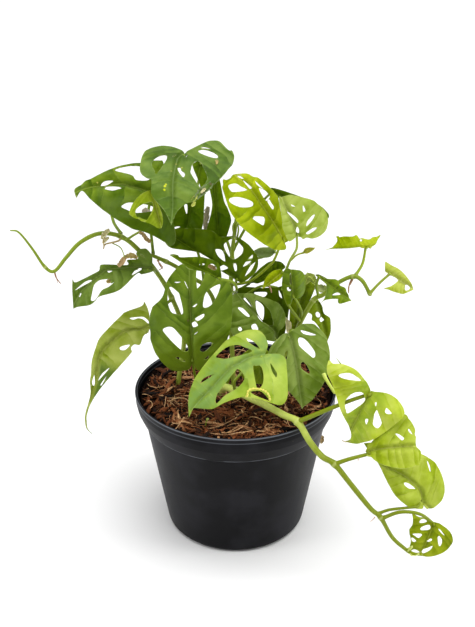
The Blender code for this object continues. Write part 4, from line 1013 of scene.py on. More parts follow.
# Leaves, in the order of Leaf's own values
LEAVES = [
    Leaf("leaf_crown", "leaf_mid_green", "crown", (-38, -5, 329), (-46, -50, 287),
         [(183, 151), (174, 147.5), (168, 146.3), (162, 146), (155, 147), (148, 149), (144.5, 152),
          (142, 157), (140.5, 163), (140, 169), (142, 174), (147, 178), (152, 180.5), (151.5, 193),
          (157, 202), (165, 211)],
         [(191, 149.5), (203, 143), (209, 141.3), (215, 140.5), (220, 142), (229, 150.3),
          (232, 151), (234, 157), (232.5, 164), (230, 168), (219, 180), (196.5, 198), (197, 200.5),
          (186, 204), (177, 212)],
         [[(152.5, 161), (157, 157.5), (163, 155.2), (166.5, 155.5), (167, 158.5), (165.5, 162),
           (157, 174), (154, 170), (152.2, 165)],
          [(198.5, 151), (201, 149.5), (206, 150), (212, 152), (216.5, 154.5), (217.8, 157),
           (217, 158.5), (211, 157.5), (201, 153.5)],
          [(192, 166), (194, 162.5), (198, 161), (201, 163.5), (204, 168.5), (206.5, 174),
           (207, 179), (205, 184), (202, 187), (199.5, 187), (191.3, 173.5), (190.8, 169)],
          [(178, 168.5), (180, 168), (181.5, 171), (184, 173), (185, 176), (183, 177.5),
           (179, 172)],
          [(201, 148.2), (204, 147), (212.5, 149.2)],
          [(172, 156.4), (176, 154.8), (174, 157)],
          [(184, 157), (188, 155.3), (186, 157.6)]],
         petiole=[(-66, 9, 243), (-67, 10, 258), (-69, 18, 278), (-60, 22, 302), (-46, 14, 322)]),
    Leaf("leaf_left_upper", "leaf_mid_green", "upper", (-54, 2, 299), (-120, -12, 299),
         [(166, 178), (163, 162.5), (160, 160.5), (153, 160.5), (147, 162.8), (131, 163.8),
          (108, 170), (92, 178.5), (86, 181), (82, 184.5), (74.5, 190)],
         [(176, 236), (170, 247), (167, 244), (147, 233), (133, 229), (127, 226), (109, 214.5),
          (92, 201), (82, 190.5)],
         [[(115, 170.8), (126, 166.5), (133, 165.9), (142, 166.5), (149, 172), (149, 180),
           (136, 179.7), (131, 174.8)],
          [(100.5, 184.5), (103, 182), (108, 180.8), (113, 181.2), (106, 184)],
          [(104.5, 188.5), (107, 187), (112, 186), (118, 186.5), (121, 188), (118, 189.5),
           (112, 190.3), (106, 189.5)],
          [(121, 207), (126, 203.5), (134, 202.5), (152, 206), (153, 211), (136, 212.5),
           (127, 210)]],
         hook=0.12,
         petiole=[(-90, 3, 262), (-97, 12, 270), (-98, 22, 281), (-83, 28, 291), (-64, 20, 300)]),
    Leaf("leaf_young_curl", "leaf_lime", "young", (-62, -22, 305), (-55, -30, 278),
         [(145, 192), (140, 195), (135, 200), (132, 205), (129, 213), (131, 216), (135, 218),
          (139, 219), (142, 221), (150, 223.5), (158, 228)],
         [(155, 199), (157, 202), (161, 211), (162.5, 217), (162.8, 224)],
         [[(152, 202.5), (146, 203), (141, 205), (137, 208), (135.5, 211), (136.5, 216.5),
           (139, 217), (143, 219), (147, 220), (149, 217), (152.5, 209)]],
         petiole=[(-52.5, 18, 313), (-50, 8, 312), (-53, -4, 310), (-58, -15, 308)]),
    Leaf("leaf_behind_crown", "leaf_dark", "dark", seen(213, 166, 26), seen(219, 243, 8),
         [(207, 176), (211.5, 200), (211, 212), (206, 232), (208, 240)],
         [(219, 176), (224, 200), (228, 208), (231, 217), (230.5, 225), (225, 240)],
         petiole=[(-3, 20, 238), (-8, 30, 250), (-14, 34, 270), (-16, 34, 290), (-17, 31, 302)]),
    Leaf("leaf_behind_left", "leaf_dark", "dark", (-27, 35, 313), (-41, 8, 253),
         [(194, 163), (193, 167), (200, 187), (195, 192), (178, 201), (169, 208), (164, 216),
          (162, 224), (166, 233), (174, 240)],
         [(206, 165), (208, 175), (207, 184), (204.5, 194), (203.5, 215), (202, 228), (198, 239)],
         [[(184.6, 205.5), (187.4, 204.5), (187.6, 212.5), (186.3, 213.2)],
          [(172.5, 228.5), (175.5, 226.3), (179.8, 226.8), (176, 228.5)]],
         petiole=[(-26, 18, 212), (-28, 26, 225), (-34, 33, 250), (-33, 40, 275), (-29, 43, 300)]),
    Leaf("leaf_web", "leaf_dark", "web", (4, -4, 224), (-55, -8, 268),
         [(243, 282.5), (253.5, 274), (257.5, 266), (257.5, 257), (256, 253.5), (247, 243.5),
          (237, 237.5), (233, 236), (220, 236.5), (212, 231), (200, 228.5), (180, 228.5)],
         [(236, 280), (218, 268.5), (213, 261), (203, 254), (198, 252), (185, 250.5), (170, 247),
          (164, 238)],
         [[(215.5, 249), (221.5, 250.5), (224, 254), (225, 258), (224.5, 261.5), (219, 257),
           (216.5, 253)],
          [(223.8, 246), (226, 242.5), (229, 240), (232, 238.3), (234.5, 238.3), (242.5, 247),
           (243, 251), (241, 255), (234, 259), (229, 256.5)],
          [(233, 263.5), (235.5, 263), (236.8, 265.5), (236.8, 270), (235.3, 271.3),
           (233.8, 269.5)],
          [(219, 268), (221, 266), (224, 265.3), (228, 268.5), (222, 270.3)],
          [(255.5, 262), (252, 264), (249, 267.5), (245, 276), (251, 270.5)],
          [(243, 266.5), (245.5, 262), (252, 255.5), (253, 257), (251, 261), (247, 265)]],
         petiole=[(-4, 17, 214), (0, 8, 218)]),
    Leaf("leaf_under_web", "leaf_dark", "web", seen(222.5, 279, -48), seen(170, 255, -52),
         [(221, 271), (217, 262), (203, 257.5), (196, 256.8), (181, 257), (178, 255), (174, 254)],
         [(219, 280), (209, 273.5), (203, 271.5), (190, 269), (186, 267), (178, 260.5)],
         [[(207.5, 267), (210, 264), (214.5, 264.5), (216.5, 268), (214.5, 270.3), (211, 269.3)],
          [(199, 264.5), (202, 263.4), (205, 264), (202, 265.3)]],
         petiole=[(-4, 17, 206), seen(235.5, 291.5, 4), seen(237, 289, -12), seen(236, 285, -28),
                  seen(231, 281, -42)]),
    Leaf("leaf_lime_upper", "leaf_lime", "lime", (40, -2, 256), (-9, -22, 309),
         [(285, 249), (276, 250), (271, 248.5), (260, 241.5), (245, 230), (237, 221), (230, 211),
          (224, 194), (222.5, 188)],
         [(288, 240), (283.5, 229), (279, 201), (275, 193.5), (260, 179), (253, 177), (246, 173.3),
          (234, 173.8), (230, 178), (227, 179.5), (223.5, 179.5)],
         [[(228, 186), (231, 184), (236, 184), (241, 186), (247, 190.5), (234, 191.5), (230, 190)],
          [(229.5, 198), (239, 197), (250, 200.5), (253, 203.5), (251, 206), (240, 206.5),
           (230.5, 203)],
          [(244.5, 180), (252.3, 187), (251, 189), (245.5, 183)],
          [(254.5, 181), (257.5, 182.5), (264, 189), (257, 184.5)],
          [(259, 188.5), (262, 188.5), (266, 191), (270, 196), (270, 197.5), (267, 200.5),
           (264.5, 199)],
          [(267, 202), (269, 199.5), (272, 203), (273.5, 207), (272, 209.5)],
          [(252, 217.5), (264, 217.3), (264, 224.5), (261, 224)],
          [(237.5, 176.5), (241, 176.8), (244, 179), (240, 178.3)]],
         petiole=[(-4, 16, 213), (12, 15, 217), seen(268, 267, 8), seen(274, 259, 4)]),
    Leaf("leaf_pale_right", "leaf_lime", "pale", (48, -20, 267), (34, -24, 300),
         [(296, 237), (292, 240), (288, 240.5), (283, 228), (282, 220), (279, 198)],
         [(301, 237), (303, 239), (307, 237.5), (311, 238.3), (316, 237.5), (321, 235), (325, 231),
          (327, 226), (328, 220), (325, 211), (317, 203), (312, 200), (296, 195.5), (290, 195)],
         [[(302.5, 207.5), (303.5, 205.5), (305.5, 210.5), (303.5, 211.5)],
          [(306, 226), (307, 221.5), (309.5, 218), (312.5, 215), (315, 214.5), (314, 218),
           (311, 222), (308, 225.5)],
          [(306, 233), (309, 230.5), (313, 228), (316.5, 227.5), (316, 229.5), (312, 232.5),
           (308, 234.3)],
          [(288, 213), (291, 214), (295, 217), (298.5, 221), (297, 222.5)],
          [(297, 227), (299, 229.5), (299, 233.5), (297, 232)],
          [(291, 204.5), (295, 206.5), (292, 206)]],
         petiole=[(53, 9, 184), (42, 0, 204), (38, -7, 225), (42, -12, 244), (47, -17, 257)]),
    Leaf("leaf_behind_right", "leaf_dark", "dark", seen(270, 190, 18), seen(327.5, 219.5, 14),
         [(275, 188.5), (316, 203), (326.5, 212), (328.8, 216)],
         [(273, 194.5), (283, 200), (290, 199.5), (300, 201.5), (315, 207.5), (321, 212)],
         petiole=[(-2, 20, 242), (10, 27, 262), (22, 28, 281)]),
    Leaf("leaf_slim_back", "leaf_grey_green", "grey_small", (33, 20, 240), (15, 16, 243),
         [(0.35, -0.34), (0.79, -0.25)],
         [(0.30, 0.26), (0.71, 0.28)],
         roll=60, petiole=[(-3, 19, 232), (14, 28, 231), (28, 25, 236)], hidden=True),
    Leaf("leaf_left_middle", "leaf_grey_green", "grey", (-66, -4, 236), (-129, -14, 205),
         [(152.7, 256.5), (151.5, 253.5), (147, 249), (143.5, 248.3), (140, 249), (137.5, 251),
          (136, 254), (137.8, 259), (127, 260.5), (127.5, 265), (104, 264), (100, 266.5),
          (99.5, 269), (96, 272), (76, 282), (72.5, 280.2)],
         [(153, 271.5), (142, 274), (137, 274), (119, 290), (100, 296), (95.5, 301), (89, 305),
          (78, 307)],
         [[(91, 300), (91.5, 294), (94, 286), (97, 282), (101, 280), (108.5, 279), (110.5, 280),
           (111, 283.5), (115, 282), (109, 287), (102, 290.5), (95.5, 300)],
          [(76, 289), (85, 282), (91, 280), (77, 289.8)],
          [(132, 275), (134, 271), (138, 269.5), (139, 268), (141, 268.5), (140.5, 270)],
          [(140, 254.5), (141.5, 254), (145, 257.7), (144, 258.2)],
          [(78.5, 296.5), (80, 292.8), (81.2, 293.8), (79.7, 297)],
          [(107, 271), (109, 270.6), (112, 271.6), (109, 272.2)]],
         petiole=[(-64, 10, 227), (-65, 3, 232)]),
    Leaf("leaf_left_drooping", "leaf_olive", "olive", (-69, -14, 190), (-116, -52, 112),
         [(149.5, 313), (144.5, 302.5), (141, 306), (125, 312), (121, 315), (101.5, 336),
          (95.5, 348), (91.5, 361), (91, 374), (89.5, 381), (90, 394), (85, 412), (84.7, 420),
          (86.5, 428)],
         [(149, 332), (146, 333), (143.5, 336), (139.5, 344.5), (134.5, 344), (131, 347),
          (131.5, 350), (129.5, 355), (103, 385), (91, 404), (87, 415), (87, 422), (88, 429)],
         [[(130, 317.7), (140, 316.8), (145, 318), (148.3, 321.3), (148.3, 324.3), (143, 319.6),
           (138, 318.6), (133.5, 319.6)],
          [(120, 347.5), (124, 345.5), (129.5, 345), (125, 349.5), (121, 349.3)],
          [(91.6, 382), (93.5, 375.5), (94.3, 383), (93, 385.5)],
          [(98.5, 380.5), (102, 374), (110, 368)],
          [(100, 384.3), (106.5, 376.5), (101.5, 384.3)]],
         hook=0.05, petiole=[(-53, 14, 201), (-61, 2, 197)]),
    Leaf("leaf_front_left", "leaf_mid_green", "front", (-35, -16, 156), (-35, -32, 249),
         [(189, 369), (181, 370.8), (174, 370.5), (168, 367), (157, 355), (150.5, 341),
          (149.8, 334), (149.7, 320), (151.5, 309), (153.5, 305), (162, 297), (167.5, 281),
          (175, 269), (182, 264.5)],
         [(196, 369.5), (200, 370), (204, 368), (212, 358.5), (225, 344), (228.5, 337), (230, 330),
          (233, 298), (228.5, 283), (226, 280), (217, 277), (210, 271), (202, 266.5)],
         [[(170, 287), (177, 291), (179.5, 296), (183.5, 313.8), (174, 314), (170, 311),
           (167.2, 300)],
          [(206.7, 291.5), (219.5, 284), (219, 290), (215, 301), (211, 305), (207, 307),
           (203.7, 307), (203.8, 302)],
          [(196.5, 271), (203.6, 272.5), (203.4, 281), (198, 287.3), (196.8, 286)],
          [(195.5, 319.5), (196.5, 317.5), (204, 314), (203.5, 316.5), (199, 321), (197, 321)],
          [(192.3, 324.5), (193.5, 322.4), (195.5, 321.8), (198, 325), (196.5, 326.8),
           (193.5, 327)],
          [(200, 350), (203.5, 343.8), (211, 342), (213, 344), (206, 351), (202.5, 352)],
          [(163, 329), (165, 327.3), (170, 327), (175, 329.5), (186, 342), (188.3, 350), (184, 351),
           (180, 349), (164.5, 333)],
          [(175.5, 357.5), (179, 357.5), (185, 361.5), (181, 361)],
          [(184.5, 282), (186, 282.8), (188, 289.5)],
          [(175, 281.8), (181, 281.5), (177, 283)],
          [(193, 307), (194.5, 304.5), (197, 303.5), (195.5, 306.5)],
          [(194, 334.7), (197.5, 331), (196, 334)],
          [(204.5, 359), (209, 355.5), (207, 358.5)]],
         arch=0.08, petiole=[(-31, 2, 108), (-31, 0, 120), (-34, -7, 141)]),
    Leaf("leaf_centre_grey", "leaf_grey_green", "grey_light", (34, -8, 173), (1, -6, 215),
         [(270, 341), (252, 337), (233, 335), (231, 318), (233, 297)],
         [(279, 331), (282, 328.5), (284.5, 325), (285.5, 318), (284.5, 312), (281, 306),
          (276, 302), (258, 295), (250, 293.6)],
         [[(244, 297.5), (246, 298), (250, 302.5), (252.5, 307), (250, 305.5), (244, 299.5)],
          [(238, 308), (240, 307.3), (244, 309), (250, 315.8), (247, 316.3), (240.5, 311.5)],
          [(255.5, 300), (261, 302), (266, 306), (270, 311), (272, 317), (273, 325), (270, 325.5),
           (266, 323.5), (262, 321), (258, 316), (255.5, 305)],
          [(251.5, 326), (253, 324), (256, 324), (258, 327.5), (258, 329.5), (254, 329.7),
           (252, 328.5)],
          [(238, 328), (240, 327), (242, 329.5), (241, 331), (239, 330.5)]],
         petiole=[(39, 16, 146), (37, 6, 162)]),
    Leaf("leaf_front_lime", "leaf_lime", "front_lime", (23, -40, 178), (-36, -66, 136),
         [(267, 350), (267.5, 344), (266, 339), (263, 334), (259, 331), (254, 329.7), (242, 331.5),
          (228, 339.5), (223, 344), (199, 372), (192, 384), (188.3, 398)],
         [(277, 353.8), (281, 355), (284.5, 358), (286.5, 364), (288, 390), (287.5, 397),
          (285, 403), (280, 405.5), (274, 404.5), (247, 396.5), (227, 402), (215, 408), (209, 409),
          (197, 408), (193, 409)],
         [[(216, 357), (225, 348.3), (231, 345.5), (238, 344.8), (244, 346.5), (251.5, 352.2),
           (228, 358.5), (220, 358.8)],
          [(246.5, 338), (253, 341), (257, 344.5), (260, 349), (252.5, 345), (248.5, 341.5)],
          [(238, 369), (241.5, 371), (244, 376.5), (243, 381.5), (240, 386), (235, 390), (224, 396),
           (217.3, 403.3), (215.7, 401), (216.5, 396.5), (219, 391.5), (234, 372)],
          [(253.5, 367), (256, 365.5), (260, 365.5), (262, 369), (263.5, 376), (263, 383),
           (260.5, 388), (258, 389), (256.5, 386)],
          [(270.5, 363), (275.5, 370), (277, 374), (276, 377), (274, 375.5), (272, 371)],
          [(201, 382), (203, 379), (208, 376), (213, 374), (215, 374.5), (202, 382.7)],
          [(251, 392), (255, 391), (261, 391.7), (265, 394), (268, 398.5), (268.3, 400.8),
           (255, 395.6)]],
         petiole=[(-1, -14, 131), (0, -31, 150), (13, -36, 167)]),
    Leaf("leaf_under_lime", "leaf_olive", "shade_olive", (18, -12, 170), (24, -26, 143),
         [(0.0, -0.20), (0.17, -0.50), (0.44, -0.62), (0.77, -0.50), (0.92, -0.26)],
         [(0.11, 0.21), (0.39, 0.39), (0.74, 0.37), (0.96, 0.19)],
         petiole=[(-11, -1, 121), (0, 3, 145), (13, -3, 163)], hidden=True),
    Leaf("leaf_front_right", "leaf_grey_green", "grey_light", (42, -20, 186), (53, -48, 133),
         [(286, 333.5), (281, 335.5), (276, 340), (272, 345), (269, 351), (268, 360), (270, 370),
          (275, 380), (282, 388), (289, 392), (298.5, 403)],
         [(300, 325), (304, 323.7), (309, 323.3), (314, 324.5), (318, 327), (325, 335.5),
          (327.5, 341), (329, 348), (329.7, 356), (328.5, 366), (325.5, 380), (314.5, 397.5),
          (311, 401.5), (304, 406)],
         [[(301, 330.5), (304, 330.3), (315.5, 334.5), (311, 335.3), (305, 334), (302, 332.5)],
          [(298, 340), (299.5, 338), (302, 337.8), (306, 340), (310.5, 345), (314, 351), (315, 356),
           (313.5, 357.8), (310, 355.5), (300.5, 346.5), (298.5, 343)],
          [(284.3, 358), (284.5, 354), (286, 351.2), (287.8, 352), (287.3, 356), (286, 359.7)],
          [(301, 366), (301.3, 363), (303, 362.3), (306, 364.5), (308.5, 368), (310, 372),
           (308.5, 373.8), (302, 369)]],
         petiole=[(48, 12, 165), (49, 2, 177), (45, -10, 184)]),
    Leaf("leaf_right_back", "leaf_mid_green", "mid_light", (67.7, 17, 200), (77.2, 10, 164.6),
         [(318.5, 300), (320.5, 303), (322.5, 307), (323.3, 311), (325, 314), (329.5, 317),
          (330.3, 320), (331, 329), (330, 334)],
         [(313, 304), (310, 309), (308.5, 312.5), (311, 314), (312, 316), (312, 320), (314.5, 322),
          (318, 326), (323.5, 334)],
         [[(315.5, 313.5), (317, 312), (319, 312.5), (320.3, 315), (319.5, 317), (317, 317)],
          [(319.5, 319), (321.5, 317.5), (323, 318.5), (324, 320.5), (322.5, 322), (320.5, 321.5)]],
         petiole=[(62, 9, 199), (63.5, 14, 200)]),
    Leaf("leaf_ruffled", "leaf_dark", "mid", (65, -6, 230), (92, -14, 212),
         [(316, 274.5), (319, 274.5), (325, 277), (328, 279), (336, 279.5), (339, 282),
          (340, 285.5), (344, 287), (346, 289), (346.5, 292), (348.5, 295), (349.5, 298)],
         [(325.5, 283), (326.5, 286), (326.5, 290), (325.5, 295), (324, 299), (321, 302.7),
          (325, 300), (337, 298.7), (338, 301.5), (340, 303.7)],
         [[(332.5, 295), (335, 293), (338, 292.3), (340, 293), (340, 294.5)]],
         wave=0.06, petiole=[(68, 7, 206), (65, -1, 219)]),
    Leaf("leaf_olive_back", "leaf_olive", "shade_olive", seen(293, 334, 31), (61, 27, 217),
         [(290, 326), (289.5, 318), (290.5, 300), (292, 290), (295, 282), (299, 277), (304, 274.3)],
         [(297, 329.5), (316, 286), (316.5, 281), (313, 277)],
         petiole=[(35, 15, 138), (46, 22, 150)]),
    Leaf("leaf_middle_dark", "leaf_dark", "web", seen(246, 284, 20), seen(285, 266, 20),
         [(249, 279.5), (260, 268.5), (264, 265), (268, 262.5), (272, 261), (277, 260.8),
          (282, 262.5)],
         [(252, 283), (257, 283.5), (262, 282), (268, 279), (274, 275.5), (284, 268.5)],
         petiole=[(-4, 17, 200), (3, 22, 206)]),
    Leaf("leaf_middle_shade", "leaf_dark", "web", (38, 9.5, 214), (34, 9, 166),
         [(262, 288), (250, 287.2), (241, 287.5), (236.5, 290), (240, 295), (246, 298.5),
          (262, 321), (265, 326), (267, 332), (270, 338)],
         [(285, 288), (287.5, 293), (289, 302), (289, 312), (284, 336), (280, 340.5)],
         [[(256.5, 300.5), (263, 305.5), (264, 312), (263.5, 318), (262, 320), (257.5, 313.5),
           (256, 306)],
          [(255.5, 292), (266.5, 292), (264, 297), (255, 294.5)],
          [(278.5, 291), (280, 292), (281.8, 298.5), (279.5, 297.5)]],
         petiole=[(-4, 18, 193), (2, 11, 200), (9, 7.5, 208), (22, 7, 216)]),
    Leaf("leaf_rolled_young", "leaf_mid_green", "mid", seen(294, 298, -16), seen(291, 270, -20),
         [(289, 306), (286, 300), (283, 292), (282, 285), (282.5, 276), (284, 270.5), (287, 268)],
         [(299, 298), (303, 294.5), (305, 288), (305.3, 280), (303.7, 274), (300, 270.3),
          (295, 269.6)],
         [[(289.7, 275), (291.3, 275), (292, 284), (290.2, 284)],
          [(287, 287.5), (290.8, 287), (290.5, 291), (287.8, 290.5)]],
         cup=0.9, petiole=[(54, 10, 186), (53, -2, 199)]),
    Leaf("leaf_lime_tip", "leaf_lime", "lime", seen(283, 271, -14), seen(262.5, 289, -16),
         [(281, 269.5), (276, 270), (271.5, 272), (267.5, 276), (264.5, 281)],
         [(283, 275), (281, 278.5), (277, 281.5)],
         cup=0.5, stalk=0.9, petiole=[(39, -8, 231), (37, -9, 234)]),
    Leaf("leaf_bud_right", "leaf_olive", "bud", (52, -12, 252), (62, -12, 256),
         [(0.25, -0.20), (0.60, -0.18)],
         [(0.25, 0.18), (0.60, 0.16)],
         cup=0.5, stalk=0.8, petiole=[(43, -13, 246), (48, -12, 250)], hidden=True),
    Leaf("sheath_dry", "sheath_straw", "straw", seen(289, 333, 3), seen(285.5, 317, 1),
         [(286.4, 331), (286, 325), (285, 320)],
         [(291, 331), (291, 323), (288.6, 320)],
         cup=0.6, stalk=0.9, petiole=[(48, 12, 163), (45, 9, 167)]),
    Leaf("leaf_right_small", "leaf_lime", "lime", (107, 10, 248), (70, -2, 250),
         [(371, 249), (373.5, 246.5), (376, 243.5), (377.5, 240), (380.5, 235.2), (377, 236.5),
          (373, 237), (369, 239.5), (362, 238), (359.5, 238.5), (356.5, 235), (353, 236.5),
          (344, 236.5), (340, 237), (338, 236), (336.5, 236.5), (337.3, 239), (337, 242),
          (334, 245.5), (332, 247.5)],
         [(364, 248.3), (360, 247.5), (350, 248.8), (332, 249)],
         [[(359.8, 240), (361, 239), (362.3, 240.5), (361, 241.5)]],
         roll=25, petiole=[(96, 0, 228), (102, 6, 236)]),
    Leaf("leaf_far_right", "leaf_lime", "pale_yellow", (120, -12, 235), (139, -20, 224),
         [(385.5, 270), (384.8, 263), (386, 261.8), (392, 265.5), (399, 269), (404, 273.5),
          (410, 281), (412, 285)],
         [(389.5, 274.5), (393, 275.5), (398.5, 279.5), (392, 285.5), (384.3, 288.5),
          (388.5, 289.5), (393, 291.5), (398, 293), (402, 294), (405, 293.5), (409, 292)],
         [[(405.3, 285), (407, 284), (409.5, 286), (410.3, 288), (408, 290), (405, 290)]],
         petiole=[(107.5, -6, 215), (114, -9, 225)]),
    Leaf("leaf_trailing_1", "leaf_lime", "trailing_first", (101, -78, 165), (83, -86, 127),
         [(370, 389), (367, 382.5), (364.5, 379), (355, 369.5), (342, 363.7), (333, 363.5),
          (329.5, 360.5), (328, 363), (327.2, 372), (333, 386), (341, 412), (348.5, 425),
          (350, 430), (351, 435), (350, 439.5)],
         [(372, 391.6), (386, 393), (396, 398), (400, 402), (402.5, 406), (403.8, 410), (404, 416),
          (393, 426), (387, 430.5), (374, 439), (363, 442.5), (358, 443.5), (353, 443.5)],
         [[(339, 376), (340.5, 374), (344, 373), (349, 373), (354, 374.5), (361, 380.5),
           (356, 380.7), (344, 379)],
          [(345, 406), (345.5, 401), (349, 396.5), (354, 393), (360, 391.8), (363.5, 394),
           (365, 398), (364.5, 401), (361, 404.5), (348, 413.3), (346, 410)],
          [(376.5, 410), (378, 411.5), (381.5, 421.5), (381, 425.5), (378.5, 428), (375.5, 427.5),
           (373, 424.5), (373.2, 419.5), (374.5, 414)],
          [(384.8, 412), (385.5, 409.5), (387.3, 408), (391.7, 413), (390, 414.3), (386.5, 414)],
          [(365, 420.5), (366.2, 418.7), (367.9, 419.8), (366.6, 424.3)],
          [(375, 403), (376.2, 402.5), (376.5, 405.5), (375.5, 406.2)]],
         wave=0.05, stalk=1.9,
         petiole=[(48, -69, 134), (58, -74, 142), (72, -76, 150), (87, -76, 157)]),
    Leaf("leaf_trailing_2", "leaf_lime", "trailing", (99, -94, 122), (137, -104, 118),
         [(366, 450), (375, 438), (392, 423), (403, 415.5), (405.5, 414.3), (407.5, 415.5),
          (408.5, 418.5), (411, 421), (413.5, 425), (415, 430), (415, 434), (416, 437.5),
          (415.5, 441), (416, 446), (420.5, 451), (421, 456)],
         [(367, 456), (371, 457), (374, 460), (379, 463), (385, 465.5), (392, 467.3), (400, 468.5),
          (408, 468)],
         [[(395.5, 434), (398, 434), (401, 435.5), (404, 438.3), (403, 440), (401, 439.5)],
          [(408.3, 429.5), (409.5, 429), (411.5, 432), (412.5, 434.8), (409, 432)]],
         wave=0.05, stalk=1.7, petiole=[(75, -94, 112), (86, -96, 118)]),
    Leaf("leaf_trailing_3", "leaf_lime", "trailing", (146, -94, 76), (98, -82, 123),
         [(423.6, 506), (421, 509), (411, 508), (406, 505), (396, 496), (388, 484), (376, 460),
          (368, 450)],
         [(424.6, 506), (427, 508.5), (430, 509), (434, 507.5), (438, 504.5), (441.5, 500.5),
          (443.5, 495), (444.3, 489), (442.5, 476), (436.5, 464.5), (432.5, 460), (421, 454),
          (395, 445), (380, 442)],
         [[(404, 483), (405.5, 482.3), (410, 484), (415.5, 488.5), (413, 489.3), (409, 488),
           (405.5, 485.5)],
          [(426.8, 462), (428, 462), (430, 466), (431, 471), (430, 471)]],
         petiole=[(108.5, -104, 73.5), (118, -101, 75), (130, -100, 76), (140, -98, 76)]),
    Leaf("leaf_trailing_4", "leaf_lime", "trailing_end", (153, -104, 65), (143, -112, 40),
         [(427, 518), (420, 515), (412.5, 513), (412.8, 518), (412.5, 524), (411, 527),
          (409.2, 529.5), (409.5, 534), (410.5, 538), (410.5, 543), (409.5, 547), (410.5, 552),
          (413, 555)],
         [(438.5, 523), (443, 525.5), (447.5, 529), (451, 533.5), (453, 539), (452.8, 542),
          (450, 547), (446, 550.5), (440, 554), (434, 556), (428, 556.7)],
         [[(419.5, 522), (420.5, 520), (423, 519), (426, 520), (427, 521.5), (424, 523),
           (420.5, 523)],
          [(420.3, 528.5), (423, 526.5), (428, 525), (430.3, 526), (430.2, 529), (427, 530),
           (421.5, 530)],
          [(412.7, 534), (420, 533.7), (422, 535), (420.5, 537), (418.5, 538), (415, 536)],
          [(411.3, 538.3), (412.5, 537.7), (415.5, 540), (416.3, 541.2), (414, 542), (412, 541)],
          [(427, 542.5), (429, 540), (431, 538.8), (432.3, 539.5), (431, 541.2)],
          [(425, 549), (432.5, 546), (431, 549), (427, 552), (423, 553.3), (422, 551.7)],
          [(411.5, 551), (412.7, 549.7), (416, 549.7), (419.5, 552), (416, 553)],
          [(437.8, 538), (438.8, 536), (440, 536.5), (442, 540), (441.5, 544), (440, 546.3),
           (438.5, 544.5)],
          [(438.5, 529), (440.5, 530.2), (444.5, 535.5), (441.5, 533.5)],
          [(414.5, 514.2), (418, 514.6), (423, 517), (419, 516.7)]],
         stalk=1.5, petiole=[(112, -105, 70), (125, -109, 79), (140, -109, 77)]),
]


@dataclass
class Vine:
    """One stem: points along it, its radius at its foot and end, its nodes and its aerial roots."""

    name: str
    kind: str
    path: list
    foot: float
    end: float
    nodes: tuple = ()
    roots: list = ()
    taper: float = 1.5

    def add(self, shape):
        """The stem with a swelling at each node, and its aerial roots in the second slot."""
        path = curve(self.path, PATH_STEPS)
        travelled = lengths(path)
        places = [travelled[k * PATH_STEPS] for k in self.nodes]
        share = np.arange(len(path)) / (len(path) - 1)
        radii = self.foot + (self.end - self.foot) * share**self.taper
        for place in places:
            radii = radii * (1 + 0.32 * np.exp(-(((travelled - place) / 2.0) ** 2)))
        wander = np.array([noise.noise(Vector((t * 0.12, self.foot, 3.0))) for t in travelled])
        radii = radii * (1 + 0.06 * wander)
        add_tube(shape, path, radii, STEM_SIDES, 0, nodes=places)
        for number, (start, end) in enumerate(self.roots):
            start, end = np.array(start, float), np.array(end, float)
            middle = (start + end) / 2 + np.array([1.2, -0.6, 0.4]) * (1 if number % 2 else -1)
            root = curve([start, middle, end], LINE_STEPS)
            add_tube(shape, root, np.linspace(0.75, 0.35, len(root)), THIN_SIDES, 1)


VINES = [
    Vine("vine_left_climbing", "vine_olive",
         [(-51, 16, 106), (-50, 15, 120), (-47, 18, 140), (-44, 20, 160), (-46, 18, 180),
          (-53, 14, 203), (-62, 11, 223), (-77, 6, 247), (-90, 2, 260), (-106, -2, 264),
          (-121, -6, 258), (-132, -9, 247), (-142, -11, 236), (-149, -12, 240), (-157, -14, 256),
          (-165, -17, 270), (-171, -18, 272)],
         2.0, 0.5, nodes=(5, 8, 13), roots=[((-142, -11, 236), (-138, -12, 226))], taper=3.0),
    Vine("vine_left_high", "vine_olive",
         [(-19, 12, 106), (-19, 14, 122), (-19, 22, 145), (-18, 24, 170), (-18, 20, 196),
          (-26, 18, 212), (-33, 16, 218), (-47, 12, 230), (-56, 10, 236), (-66, 8.5, 241.5)],
         2.0, 1.5, nodes=(5, 8), roots=[((-62, 9, 240), (-59, 7, 231))]),
    Vine("vine_centre", "vine_olive",
         [(-2, 14, 106), (-2, 15, 122), (-3, 20, 151), (-4, 18, 180), (-4, 16, 209), (-3, 19, 235),
          (-1, 21, 255), (1, 22, 270)],
         2.1, 1.5, nodes=(3, 4, 5)),
    Vine("vine_right_climbing", "vine_olive",
         [(24, 14, 106), (25, 14, 122), (40, 16, 147), (49, 12, 166), (54, 10, 182), (64, 8, 203),
          (72, 6, 209), (83, 2, 221), (94, 0, 227), (101, -4, 225), (107.5, -6, 214.5)],
         2.1, 1.5, nodes=(2, 3, 5, 8, 10), roots=[((94, 0, 227), (91, -3, 214))]),
    Vine("vine_trailing", "vine_lime",
         [(-13, 3, 106), (-12.5, 2, 118), (-9, -4, 128), (1, -16, 131), (11, -28, 132),
          (25, -45, 134), (38, -60, 134.5), (48, -69, 134), (57, -80, 123), (66, -88, 115),
          (75, -94, 112), (87, -99, 98), (103, -103, 78), (111, -105, 71), (121, -108, 54),
          (134, -110, 42)],
         3.2, 1.4, nodes=(3, 7, 10, 13)),
]


def blend(one, other, share):
    """A colour between two fixed ones."""
    return tuple(a + (b - a) * share for a, b in zip(one, other))


def colour_prop(name, description, default):
    """A colour that the user can change."""
    return FloatVectorProperty(
        name=name, description=description, default=default, subtype="COLOR", size=3, min=0.0,
        max=1.0
    )


def length_prop(name, description, default, low=0.0, high=1.0):
    """A length that the user can change, in metres."""
    return FloatProperty(
        name=name, description=description, default=default, min=low, max=high, unit="LENGTH",
        subtype="DISTANCE", precision=4
    )


